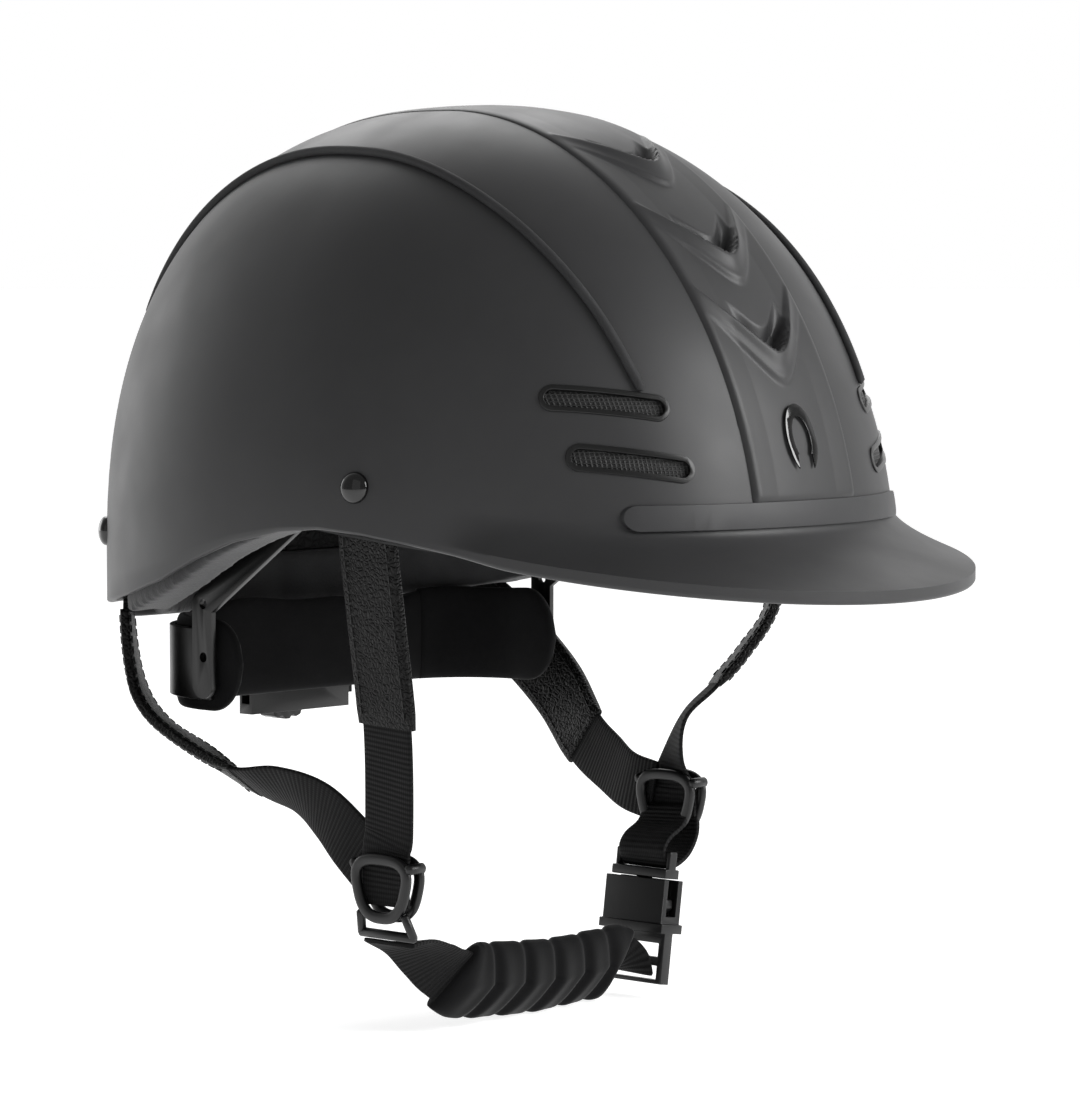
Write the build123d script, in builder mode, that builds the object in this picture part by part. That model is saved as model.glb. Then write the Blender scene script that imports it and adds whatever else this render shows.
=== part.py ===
from build123d import *
import os
from math import cos, pi, radians, sin, sqrt

os.makedirs("parts", exist_ok=True)

# Helmet frame, in millimetres: +Z up, front at -Y, the wearer's right at -X.
# The origin is the middle of the head space at the shell's widest level.

# Shell
HALF_WIDTH = 112.3
FRONT_REACH = 134.8
REAR_REACH = 133.2
CROWN_HEIGHT = 146.6
PLAN_POWER = 2.21
FRONT_POWER, SIDE_POWER, REAR_POWER = 1.92, 2.21, 2.5
WALL = 3.2
OUTLINE_POINTS = 24
LEVEL_TURNS = (10, 15, 20, 26, 32, 38, 44, 50, 56, 62, 68, 73, 78, 82, 85.5, 88)

# Peak: a round plan that flares out of the shell between two sloping levels
PEAK_RADIUS = 97.0
PEAK_CENTRE = 75.0
PEAK_BLEND = 2.0
PEAK_TOP = 15.0
PEAK_EDGE = 2.9
FLARE_POWER = 2.2
PEAK_DIP = 0.137
DEEPEST_LEVEL = -65.0

# Bottom edge of the shell seen from the side: (y, z)
RIM_LINE = [(-182, -6.9), (-150, -2.5), (-120, 1.6), (-93, 5.4), (-62, 11.6), (-45, 14.4), (-30, 15.7),
            (-14, 14.5), (7, 10.2), (24, 4.4), (44, -3.4), (68, -9.6), (100, -15.0), (142, -18.5)]
HALF_SPAN = 130.0

# Liner and pads
LINER_GAP = 0.3
LINER_INSET = WALL + LINER_GAP
LINER_THICK = 16.0
LINER_LIFT = 3.0
RIM_PAD_INSET = 20.5
RIM_PAD_DROP = 7.0
STRAP_NOTCH = (88.0, 104.0, -64.0, -20.0, 48.0)

# Vents
SLOT_ENDS = {"upper": ((-76.8, -90.5, 56.4), (-45.6, -115.8, 52.3)),
             "lower": ((-75.0, -99.9, 38.6), (-42.5, -123.2, 33.7))}
SLOT_HEIGHT = 8.6
FRAME_WIDTH = 1.7
FRAME_PROUD = 0.6
FRAME_DEPTH = 2.2
SCOOPS = [(-118.0, 72.0), (-98.5, 108.5), (-67.0, 134.0)]
SCOOP_HALF_WIDTH = 13.0
SCOOP_OPENING = 7.0

# Trim bar, badge and piping
TRIM_LOW, TRIM_HIGH = 15.6, 23.4
TRIM_HALF_WIDTH = 65.0
TRIM_PROUD = 1.4
BADGE_Y, BADGE_Z = -131.0, 41.7
PIPING_RADIUS = 1.5
PIPING_SEAT = 0.8
PIPING_PLAN = [(52, -109), (55.5, -93), (58.5, -71), (60, -47), (59.5, -22), (57.5, 3), (55.5, 27),
               (54.5, 51), (54.5, 72), (54.5, 91), (54, 106)]

# Rivets
SIDE_RIVET = (106.4, -43.9, 28.5)
REAR_RIVET = (80.0, 100.0, 8.0)
RIVET_HEAD_RADIUS = 4.7
RIVET_HEAD_RISE = 2.6
RIVET_HEAD_TAPER = 35.0
SHANK_RADIUS = 2.4
EYE_CLEAR = 0.05

# Straps
WEB_WIDTH, WEB_THICK = 20.0, 1.5
COVER_WIDTH, COVER_THICK = 23.5, 3.6
TAB_X = 97.5
TAB_THICK = 2.2

# Points down the middle of each strap and the direction of its width there
FORWARD = (0, -1, 0)
FRONT_PATHS = {
    "right": [((-97.5, -41, 24), FORWARD), ((-97.5, -39, 14), FORWARD), ((-94, -39, -12), FORWARD),
              ((-89, -39, -47), FORWARD), ((-84.3, -35, -78), FORWARD), ((-83.9, -33.5, -85), FORWARD),
              ((-83.9, -33, -96), FORWARD)],
    "left": [((97.5, -41, 24), FORWARD), ((97.2, -40, 12), (-0.2, -0.98, 0)),
             ((95, -39, -18), (-0.7, -0.71, 0)),
             ((87, -33.5, -34), (-0.73, -0.68, 0)), ((78, -27.5, -46), (-0.73, -0.68, 0)),
             ((70, -21.5, -56), (-0.5, -0.87, 0)), ((66.9, -19, -69.5), FORWARD),
             ((66.9, -19, -81), FORWARD)]}
FRONT_COVER_SPANS = {"right": 4, "left": 5}
REAR_PATHS = {
    "right": [((-76, 92.5, 4), (0.7, 0.71, 0)), ((-78.2, 91.8, -18), (0.72, 0.69, 0)),
              ((-79.5, 86.5, -39), (0.75, 0.6, -0.2)), ((-80.5, 75.5, -51.5), (0.85, 0.4, -0.3)),
              ((-80.5, 56, -60.5), (0.93, 0.13, -0.32)), ((-80.5, 33, -69.5), (0.85, 0.2, -0.5)),
              ((-80.5, 14, -71), (0.6, 0.1, -0.8)), ((-81, -2, -76), (0.2, 0.3, -0.93)),
              ((-82.1, -15, -84), (0, 0.55, -0.83)), ((-82.1, -25, -92), (0, 0.65, -0.76))],
    "left": [((76, 92.5, 4), (0.7, -0.71, 0)), ((77.8, 88.5, -18), (0.68, -0.73, 0)),
             ((82.5, 80, -27), (0.5, -0.7, 0.5)), ((85.5, 64, -40.5), (0.3, -0.6, 0.74)),
             ((83, 47, -53), (0.2, -0.55, 0.8)), ((76, 29, -67), (0.1, -0.5, 0.86)),
             ((70, 12, -74.5), (0.05, -0.35, 0.93)), ((65.8, 0, -79), (0, -0.25, 0.97)),
             ((65.1, -12, -81.5), (0, -0.2, 0.98))]}
REAR_COVER_END = 6

# Sliders
SLIDER_CENTRES = {"right": (-83.0, -33.0, -96.0), "left": (66.0, -19.0, -83.0)}
SLIDER_OUTLINE = [(-14.5, 9.5), (14.5, 9.5), (9.5, -12.5), (-9.5, -12.5)]
SLIDER_CORNER = 5.0
SLIDER_RIM = 3.6
SLIDER_PLATE = 2.2
SLIDER_GAP = 3.6
POST_PLACE = (12.2, 5.5)
POST_RADIUS = 1.2
HINGE_BAR_RADIUS = 1.6
HINGE_BAR_LENGTH = 24.0
HINGE_BAR = (-83.0, -33.0, -112.2)
EAR_THICK = 1.6

# Buckle, along its own axis from the plug's webbing bar down
BUCKLE_TOP = (53.0, -20.0, -99.5)
BUCKLE_OUT = (0.99, 0, -0.14)
PLUG_LENGTH, PLUG_WIDTH, PLUG_THICK = 9.0, 24.0, 7.0
BAR_WIDTH, BAR_THICK, WINDOW_HEIGHT = 2.5, 3.6, 3.4
TONGUE_LENGTH, TONGUE_WIDTH, TONGUE_THICK = 12.0, 4.0, 3.4
ARM_ROOT = 7.0
BUCKLE_LOOP = [((66.9, -19, -97.4), FORWARD), ((63, -19.5, -97.4), FORWARD), ((53.4, -20, -97.8), FORWARD)]
BUCKLE_LOOP_THICK = 3.2
SOCKET_START, SOCKET_END, SOCKET_FLOOR = 9.4, 27.0, 23.5
SOCKET_WIDTH, SOCKET_THICK = 26.0, 9.4
CAVITY_WIDTH, CAVITY_THICK = 19.4, 6.4
LADDER_END = 44.0
LADDER_WINDOWS = (30.5, 38.0)
LADDER_WINDOW_HEIGHT = 4.6
LADDER_THICK = 4.0

# Chin strap and pad: points and width directions
LEAN = (0, -0.42, 0.91)
CHIN_PATH = [((-82.5, -33, -114.7), FORWARD), ((-72, -32, -117), (0, -0.95, 0.3)),
             ((-63, -31, -122), (0, -0.8, 0.6)), ((-55, -30.3, -127), (0, -0.6, 0.8)),
             ((-45, -29.3, -131), LEAN), ((-26, -27.5, -133), LEAN),
             ((-5, -25.4, -134.5), LEAN), ((16, -23.3, -134.5), LEAN), ((32, -21.7, -134.5), LEAN),
             ((39, -20.6, -136), (0, -0.8, 0.6)), ((43.6, -20, -139), FORWARD)]
PAD_SPAN = (4, 9)
CHIN_PAD_WIDTH, CHIN_PAD_THICK = 27.0, 9.0

# Cradle
PIN_Y, PIN_Z = 10.0, 16.0
PIN_RADIUS = 3.0
PIN_CLEAR = 0.05
PIN_LENGTH, PIN_HEAD_THICK = 17.0, 2.0
ARM_INNER, ARM_THICK = 79.1, 2.0
ARM_LINE = [(10, 16), (30, 2), (53, -14), (53, -40)]
ARM_WIDTH = 9.0
HEIGHT_HOLES = [(52.4, -13.8), (52.4, -31.0)]
HEIGHT_HOLE_RADIUS = 1.6
BAND_HALF_WIDTH, BAND_REAR, BAND_FRONT, BAND_CORNER = 77.9, 90.0, 44.0, 32.0
BAND_THICK = 1.8
BAND_LOW, BAND_HIGH = -49.0, -18.0
CRADLE_PAD_THICK, CRADLE_PAD_GAP = 4.6, 0.3
HOUSING = (46.0, 6.0, 27.0)
HOUSING_WALL = 1.2
DIAL_Z = -45.0
DIAL_RADIUS, DIAL_THICK = 15.0, 7.0
DIAL_NOTCHES = 18
DIAL_SHAFT_RADIUS = 2.0
PINION_RADIUS = 4.0
RACK_LENGTH, RACK_HEIGHT, RACK_THICK = 30.0, 3.0, 2.4
RACK_GAP = 0.15


# ---------------------------------------------------------------- shell formula

def plan_radius(angle, inset=0.0):
    """Reach of the shell's widest outline at an angle counted from the front."""
    reach = (FRONT_REACH if cos(angle) > 0 else REAR_REACH) - inset
    across = abs(sin(angle)) / (HALF_WIDTH - inset)
    return (across**PLAN_POWER + (abs(cos(angle)) / reach)**PLAN_POWER)**(-1 / PLAN_POWER)


def dome_power(angle):
    """Fullness of the dome's profile at an angle."""
    end_power = FRONT_POWER if cos(angle) > 0 else REAR_POWER
    return SIDE_POWER + (end_power - SIDE_POWER) * cos(angle)**2


def dome_radius(angle, height, inset=0.0):
    """Horizontal reach of the dome at an angle and a height."""
    if height <= 0:
        return plan_radius(angle, inset)
    power = dome_power(angle)
    rise = min(height / (CROWN_HEIGHT - inset), 0.99999)
    return plan_radius(angle, inset) * (1 - rise**power)**(1 / power)


def dome_height(x, y, inset=0.0):
    """Height of the dome over a point of the plan."""
    angle = atan2_front(x, y)
    power = dome_power(angle)
    share = min(sqrt(x * x + y * y) / plan_radius(angle, inset), 0.99999)
    return (CROWN_HEIGHT - inset) * (1 - share**power)**(1 / power)


def atan2_front(x, y):
    """Angle of a plan point, from the front towards +X, in radians."""
    return radians(Vector(0, -1).get_signed_angle(Vector(x, y), Vector(0, 0, 1)))


def peak_overhang(angle):
    """How far the peak's round plan reaches beyond the shell."""
    chord = sqrt(PEAK_RADIUS**2 - (PEAK_CENTRE * sin(angle))**2)
    gap = PEAK_CENTRE * cos(angle) + chord - plan_radius(angle)
    return 0.5 * (gap + sqrt(gap**2 + PEAK_BLEND**2))


def level_dip(level):
    """Slope of a section plane: full at the peak, none at the crown."""
    return PEAK_DIP * min(1.0, 1 - level / CROWN_HEIGHT)


def section_plane(level):
    """Section plane through the front of the shell at a level."""
    return Plane(origin=(0, -FRONT_REACH, level), x_dir=(1, 0, 0), z_dir=(0, -level_dip(level), 1))


def section_points(level, inset, drop, with_peak):
    """Outline of the shell on a section plane, in that plane's own coordinates."""
    dip = level_dip(level)
    share = min(max((PEAK_TOP - level - drop) / (PEAK_TOP - PEAK_EDGE), 0.0), 1.0)
    flare = share**FLARE_POWER if with_peak else 0.0
    points = []
    for step in range(OUTLINE_POINTS + 1):
        angle = pi * step / OUTLINE_POINTS
        height = level
        for _ in range(12):
            reach = dome_radius(angle, height, inset) + peak_overhang(angle) * flare
            height = level + dip * (FRONT_REACH - reach * cos(angle))
        along = (FRONT_REACH - reach * cos(angle)) * sqrt(1 + dip * dip)
        points.append((reach * sin(angle), along))
    return points


def section(level, inset, drop, with_peak):
    """One left-half section of a dome."""
    points = section_points(level, inset, drop, with_peak)
    with BuildSketch(section_plane(level)) as outline:
        with BuildLine():
            Spline(*points, tangents=[(1, 0), (-1, 0)])
            Line(points[-1], points[0])
        make_face()
    return outline.sketch


def dome_levels(lowest, inset):
    """Levels above the lowest, crowding towards the crown."""
    crown = CROWN_HEIGHT - inset
    steps = [crown * sin(radians(turn)) for turn in LEVEL_TURNS]
    return [level for level in steps if level > lowest + 4]


def dome_solid(inset=0.0, drop=0.0, with_peak=True):
    """Solid dome of the shell's form, reaching well below the rim."""
    flare_end = PEAK_EDGE - drop
    below = [DEEPEST_LEVEL, -40.0, -20.0, flare_end]
    flare = [flare_end + (PEAK_TOP - drop - flare_end) * share for share in (0.2, 0.4, 0.6, 0.8, 1.0)]
    above = flare + dome_levels(PEAK_TOP, inset)
    with BuildPart() as dome:
        loft([section(level, inset, drop, with_peak) for level in below + above], ruled=True)
    return dome.part


def below_rim(lift=0.0, rear_drop=0.0):
    """Everything under the rim line, raised by a lift and lowered towards the nape."""
    line = [(y, z + lift - rear_drop * min(max((y + 30) / 110, 0), 1)) for y, z in RIM_LINE]
    with BuildPart() as under:
        with BuildSketch(Plane.YZ):
            with BuildLine():
                Spline(*line)
                Polyline(line[-1], (line[-1][0], -160), (line[0][0], -160), line[0])
            make_face()
        extrude(amount=HALF_SPAN, both=True)
    return under.part


def surface_point(x, y, z):
    """Point of the shell's surface straight out from a point near it, and its outward normal."""
    angle = atan2_front(x, y)
    reach = dome_radius(angle, z)
    place = Vector(reach * sin(angle), -reach * cos(angle), z)
    turned = angle + 0.01
    beside, above = dome_radius(turned, z), dome_radius(angle, z + 1)
    side = Vector(beside * sin(turned), -beside * cos(turned), z)
    rise = Vector(above * sin(angle), -above * cos(angle), z + 1)
    return place, (side - place).cross(rise - place).normalized()


def save(name, part):
    """Label a finished piece and write it."""
    part.label = name
    export_step(part, f"parts/{name}.step")


def both_sides(part):
    """A left-hand piece together with its mirror image."""
    with BuildPart() as pair:
        add(part)
        mirror(about=Plane.YZ)
    return pair.part


# ---------------------------------------------------------------- shell and vents

def slot_plane(ends):
    """Plane on the shell at a slot's middle, its x along the slot and its z outwards."""
    rear, front = (Vector(*end) for end in ends)
    middle = (rear + front) * 0.5
    place, outward = surface_point(middle.X, middle.Y, middle.Z)
    return Plane(origin=place, x_dir=front - rear, z_dir=outward), (front - rear).length


def slot_prism(ends, shrink, inner_shrink=None):
    """Capsule prism through the shell at a slot, or a capsule ring."""
    plane, length = slot_plane(ends)
    with BuildPart() as prism:
        with BuildSketch(plane):
            SlotOverall(length - 2 * shrink, SLOT_HEIGHT - 2 * shrink)
            if inner_shrink is not None:
                SlotOverall(length - 2 * inner_shrink, SLOT_HEIGHT - 2 * inner_shrink, mode=Mode.SUBTRACT)
        extrude(amount=14, both=True)
    return prism.part


def left_ends(ends):
    """A slot's ends moved to the wearer's left."""
    return [(-x, y, z) for x, y, z in ends]


def scoop_prism(y, z):
    """Chevron hole through the shell and liner on the centre line."""
    place, outward = surface_point(0.001, y, z)
    plane = Plane(origin=place, x_dir=(1, 0, 0), z_dir=outward)
    arm = SCOOP_HALF_WIDTH
    with BuildPart() as prism:
        with BuildSketch(plane):
            with BuildLine():
                Polyline((0, 0), (arm, arm * 0.75), (0, SCOOP_OPENING), (0, 0))
            make_face()
        extrude(amount=30, both=True)
    return prism.part


def rivets(place, inward_length):
    """A domed rivet on each side, with its shank along X."""
    x, y, z = place
    with BuildPart() as pair:
        for side in (-1, 1):
            base = Plane((side * (x - 0.6), y, z), x_dir=(0, 1, 0), z_dir=(side, 0, 0))
            with BuildSketch(base):
                Circle(SHANK_RADIUS)
            extrude(amount=-inward_length)
            with BuildSketch(base):
                Circle(RIVET_HEAD_RADIUS)
            extrude(amount=RIVET_HEAD_RISE, taper=RIVET_HEAD_TAPER)
    return pair.part


def rivet_holes(radius):
    """Holes for the rivets on the left: a shank hole and room for the head."""
    with BuildPart() as holes:
        for x, y, z in (SIDE_RIVET, REAR_RIVET):
            with BuildSketch(Plane((x - 16, y, z), x_dir=(0, 1, 0), z_dir=(1, 0, 0))):
                Circle(radius)
            extrude(amount=30)
            with BuildSketch(Plane((x - 0.8, y, z), x_dir=(0, 1, 0), z_dir=(1, 0, 0))):
                Circle(RIVET_HEAD_RADIUS + 0.1)
            extrude(amount=20)
    return holes.part


def layer(outer_inset, inner_inset, keep):
    """The part of a shell-shaped layer that lies inside another solid, on the left."""
    with BuildPart() as skin:
        add(dome_solid(outer_inset, 0.0, False))
        add(dome_solid(inner_inset, 0.0, False), mode=Mode.SUBTRACT)
        add(keep, mode=Mode.INTERSECT)
    return skin.part


def piping(side):
    """Piping cord laid over the crown on one side."""
    route = [Vector(side * x, y, dome_height(x, y) + PIPING_SEAT) for x, y in PIPING_PLAN]
    with BuildPart() as cord:
        with BuildLine() as line:
            FilletPolyline(*route, radius=28.0)
        with BuildSketch(Plane(origin=line.line @ 0, z_dir=line.line % 0)):
            Circle(PIPING_RADIUS)
        sweep()
    return cord.part


with BuildPart() as trim_block:
    with BuildSketch(Plane.XZ.offset(90)):
        with Locations((0, (TRIM_LOW + TRIM_HIGH) / 2)):
            SlotOverall(2 * TRIM_HALF_WIDTH, TRIM_HIGH - TRIM_LOW)
    extrude(amount=60)
    split(bisect_by=Plane.YZ)
trim_half = layer(-TRIM_PROUD, -0.05, trim_block.part)
save("peak_trim", both_sides(trim_half))

slot_ends = {name: left_ends(ends) for name, ends in SLOT_ENDS.items()}

with BuildPart() as shell_half:
    add(dome_solid())
    add(dome_solid(WALL, WALL + 0.1), mode=Mode.SUBTRACT)
    add(below_rim(), mode=Mode.SUBTRACT)
    for ends in slot_ends.values():
        add(slot_prism(ends, 0.0), mode=Mode.SUBTRACT)
    for y, z in SCOOPS:
        add(scoop_prism(y, z), mode=Mode.SUBTRACT)
    add(rivet_holes(SHANK_RADIUS + EYE_CLEAR), mode=Mode.SUBTRACT)
    add(trim_half, mode=Mode.SUBTRACT)
    add(piping(1), mode=Mode.SUBTRACT)
save("outer_shell", both_sides(shell_half.part))

for name, ends in slot_ends.items():
    frame = layer(-FRAME_PROUD, FRAME_DEPTH, slot_prism(ends, 0.05, FRAME_WIDTH))
    mesh = layer(1.0, 1.8, slot_prism(ends, FRAME_WIDTH + 0.05))
    save(f"vent_frame_{name}_left", frame)
    save(f"vent_frame_{name}_right", frame.mirror(Plane.YZ))
    save(f"vent_mesh_{name}_left", mesh)
    save(f"vent_mesh_{name}_right", mesh.mirror(Plane.YZ))

badge_place, badge_out = surface_point(0.001, BADGE_Y, BADGE_Z)
with BuildPart() as badge_block:
    with BuildSketch(Plane(origin=badge_place, x_dir=(1, 0, 0), z_dir=badge_out)):
        Ellipse(6.6, 11.0)
        Ellipse(4.0, 7.0, mode=Mode.SUBTRACT)
        with Locations((0, -9)):
            Rectangle(7, 8, mode=Mode.SUBTRACT)
    extrude(amount=8, both=True)
    split(bisect_by=Plane.YZ)
save("badge", both_sides(layer(-0.5, -0.05, badge_block.part)))


save("piping_left", piping(1))
save("piping_right", piping(-1))
save("side_rivets", rivets(SIDE_RIVET, 15.0))
save("rear_rivets", rivets(REAR_RIVET, 7.0))


# ---------------------------------------------------------------- liner and pads

def strap_notches(deep):
    """Room for the straps on the left, between the shell and the pads."""
    x_near, x_far, y_front, y_rear, z_top = STRAP_NOTCH
    with BuildPart() as room:
        with Locations(((x_near + x_far) / 2, (y_front + y_rear) / 2, z_top - deep / 2)):
            Box(x_far - x_near, y_rear - y_front, deep)
        with BuildSketch(Plane((75, 93.5, -40), x_dir=(0.7, -0.71, 0), z_dir=(0, 0, 1))):
            Rectangle(34, 15)
        extrude(amount=66)
    return room.part


def hanger_pins():
    """Studs on both sides that the cradle arms hang on."""
    with BuildPart() as studs:
        for side in (-1, 1):
            base = Plane((side * (ARM_INNER - 1.6), PIN_Y, PIN_Z), x_dir=(0, 1, 0), z_dir=(side, 0, 0))
            with BuildSketch(base):
                Circle(PIN_RADIUS)
            extrude(amount=PIN_LENGTH)
            with BuildSketch(base.offset(-0.8)):
                Circle(PIN_RADIUS + 1.6)
            extrude(amount=PIN_HEAD_THICK)
    return studs.part


pins = hanger_pins()
with BuildPart() as liner_half:
    add(dome_solid(LINER_INSET, 0.0, False))
    add(dome_solid(LINER_INSET + LINER_THICK, 0.0, False), mode=Mode.SUBTRACT)
    add(below_rim(LINER_LIFT + 10), mode=Mode.SUBTRACT)
    for y, z in SCOOPS:
        add(scoop_prism(y, z), mode=Mode.SUBTRACT)
    add(strap_notches(90), mode=Mode.SUBTRACT)
    add(rivet_holes(SHANK_RADIUS + 1), mode=Mode.SUBTRACT)
    add(pins, mode=Mode.SUBTRACT)
save("foam_liner", both_sides(liner_half.part))

with BuildPart() as rim_pad_half:
    add(dome_solid(LINER_INSET + 1.0, 0.0, False))
    add(dome_solid(RIM_PAD_INSET, 0.0, False), mode=Mode.SUBTRACT)
    add(below_rim(LINER_LIFT + 9.7), mode=Mode.INTERSECT)
    add(below_rim(1.0, RIM_PAD_DROP), mode=Mode.SUBTRACT)
    add(strap_notches(90), mode=Mode.SUBTRACT)
    add(rivet_holes(SHANK_RADIUS + 1), mode=Mode.SUBTRACT)
    add(pins, mode=Mode.SUBTRACT)
save("rim_pad", both_sides(rim_pad_half.part))
save("cradle_pins", pins)

pad_inset = LINER_INSET + LINER_THICK + 0.3
with BuildPart() as crown_block:
    with Locations((20, 0, 110)):
        Box(80, 110, 80)
    with Locations((0, -50, 110)):
        Box(34, 60, 90, mode=Mode.SUBTRACT)
    split(bisect_by=Plane.YZ)
save("crown_pad", both_sides(layer(pad_inset, pad_inset + 7, crown_block.part)))
with BuildPart() as forehead_block:
    with Locations((0, -100, 38)):
        Box(110, 90, 24)
    split(bisect_by=Plane.YZ)
save("forehead_pad", both_sides(layer(pad_inset, pad_inset + 7, forehead_block.part)))


# ---------------------------------------------------------------- straps

def finer(path):
    """A strap path with the middle of each span added, so that no span twists far."""
    points = [(Vector(*place), Vector(*across).normalized()) for place, across in path]
    dense = [points[0]]
    for (place, across), (next_place, next_across) in zip(points, points[1:]):
        dense.append(((place + next_place) * 0.5, (across + next_across).normalized()))
        dense.append((next_place, next_across))
    return dense


def strap(path, width, thick):
    """Flat strap through points, each with the direction of its width."""
    dense = finer(path)
    places = [place for place, _ in dense]
    faces = []
    for index, (_, across) in enumerate(dense):
        before, after = places[max(index - 1, 0)], places[min(index + 1, len(dense) - 1)]
        with BuildSketch(Plane(origin=places[index], x_dir=across, z_dir=after - before)) as cut:
            Rectangle(width, thick)
        faces.append(cut.sketch)
    with BuildPart() as band:
        loft(faces, ruled=True)
    return band.part


def strap_eye(side):
    """Tab at the top of a front strap, with the eye that turns on the rivet."""
    _, y, z = SIDE_RIVET
    plane = Plane((side * (TAB_X - TAB_THICK / 2), y, z), x_dir=(0, side, 0), z_dir=(side, 0, 0))
    with BuildPart() as tab:
        with BuildSketch(plane):
            Circle(9)
            with Locations((2.9 * side, -4.5)):
                Rectangle(WEB_WIDTH, 1)
            make_hull()
        extrude(amount=TAB_THICK)
    return tab.part


for name, side in (("right", -1), ("left", 1)):
    path = FRONT_PATHS[name]
    spans = FRONT_COVER_SPANS[name]
    with BuildPart() as webbing:
        add(strap(path, WEB_WIDTH, WEB_THICK))
        add(strap_eye(side))
        hole = Plane((side * (TAB_X - 5), *SIDE_RIVET[1:]), x_dir=(0, 1, 0), z_dir=(side, 0, 0))
        with BuildSketch(hole):
            Circle(SHANK_RADIUS + EYE_CLEAR)
        extrude(amount=10, mode=Mode.SUBTRACT)
    save(f"front_webbing_{name}", webbing.part)
    with BuildPart() as cover:
        add(strap(path[1:spans], COVER_WIDTH, COVER_THICK))
        add(webbing.part, mode=Mode.SUBTRACT)
    save(f"front_cover_{name}", cover.part)
    rear = strap(REAR_PATHS[name], WEB_WIDTH, WEB_THICK)
    save(f"rear_webbing_{name}", rear)
    with BuildPart() as rear_cover:
        add(strap(REAR_PATHS[name][1:REAR_COVER_END], COVER_WIDTH - 1, COVER_THICK))
        add(rear, mode=Mode.SUBTRACT)
    save(f"rear_cover_{name}", rear_cover.part)


# ---------------------------------------------------------------- sliders

def slider_plane(name):
    """Plane of a slider, y up and z outward, and the side that it is on."""
    side = -1 if name == "right" else 1
    return Plane(origin=SLIDER_CENTRES[name], x_dir=(0, side, 0), z_dir=(side, 0, 0)), side


def slider_face(plane, lift):
    """Rounded triangular ring of a slider."""
    with BuildSketch(plane.offset(lift)) as ring:
        with BuildLine():
            FilletPolyline(*SLIDER_OUTLINE, radius=SLIDER_CORNER, close=True)
        make_face()
        offset(amount=-SLIDER_RIM, mode=Mode.SUBTRACT)
    return ring.sketch


for name in ("right", "left"):
    plane, side = slider_plane(name)
    with BuildPart() as cover:
        extrude(slider_face(plane, SLIDER_GAP / 2), amount=SLIDER_PLATE)
    save(f"slider_cover_{name}", cover.part)
    with BuildPart() as base:
        extrude(slider_face(plane, -SLIDER_GAP / 2), amount=-SLIDER_PLATE)
        with BuildSketch(plane.offset(-SLIDER_GAP / 2)):
            with Locations((-side * POST_PLACE[0], POST_PLACE[1])):
                Circle(POST_RADIUS)
        extrude(amount=SLIDER_GAP)
        if name == "right":
            x, y, z = HINGE_BAR
            for end in (-1, 1):
                with Locations((x + 1.2, y + end * (HINGE_BAR_LENGTH - EAR_THICK) / 2, z + 6)):
                    Box(5.6, EAR_THICK, 16)
            with BuildSketch(Plane((x, y + HINGE_BAR_LENGTH / 2, z), x_dir=(1, 0, 0), z_dir=(0, -1, 0))):
                Circle(HINGE_BAR_RADIUS)
            extrude(amount=HINGE_BAR_LENGTH)
    save(f"slider_base_{name}", base.part)


# ---------------------------------------------------------------- buckle

# The buckle's plane: x forward, y down the buckle, z outward
BUCKLE = Plane(origin=BUCKLE_TOP, x_dir=FORWARD, z_dir=BUCKLE_OUT)
DOWN = -1 if BUCKLE.y_dir.Z > 0 else 1


def buckle_block(start, end, width, thick, lift=0.0, shift=0.0):
    """Rectangular block of the buckle between two distances down it."""
    with BuildPart() as block:
        with BuildSketch(BUCKLE.offset(lift - thick / 2)):
            with Locations((shift, DOWN * (start + end) / 2)):
                Rectangle(width, end - start)
        extrude(amount=thick)
    return block.part


window_end = BAR_WIDTH + WINDOW_HEIGHT
with BuildPart() as buckle_plug:
    add(buckle_block(0, PLUG_LENGTH, PLUG_WIDTH, BAR_THICK))
    add(buckle_block(window_end, PLUG_LENGTH, PLUG_WIDTH, PLUG_THICK))
    add(buckle_block(BAR_WIDTH, window_end, WEB_WIDTH + 0.8, 2 * PLUG_THICK), mode=Mode.SUBTRACT)
    add(buckle_block(PLUG_LENGTH - 0.5, PLUG_LENGTH + TONGUE_LENGTH, TONGUE_WIDTH, TONGUE_THICK))
save("buckle_plug", buckle_plug.part)

for name, end in (("front", 1), ("rear", -1)):
    with BuildPart() as arm:
        add(buckle_block(PLUG_LENGTH + 0.3, PLUG_LENGTH + 14, 2.4, TONGUE_THICK, 0, end * ARM_ROOT))
        with BuildSketch(BUCKLE.offset(-TONGUE_THICK / 2)):
            with BuildLine():
                Polyline((end * 6.5, DOWN * 14.5), (end * 11.6, DOWN * 16), (end * 12.0, DOWN * 18.6),
                         (end * 8.0, DOWN * 22.6), (end * 6.0, DOWN * 22.6), (end * 6.5, DOWN * 14.5))
            make_face()
        extrude(amount=TONGUE_THICK)
    save(f"buckle_arm_{name}", arm.part)

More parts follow.
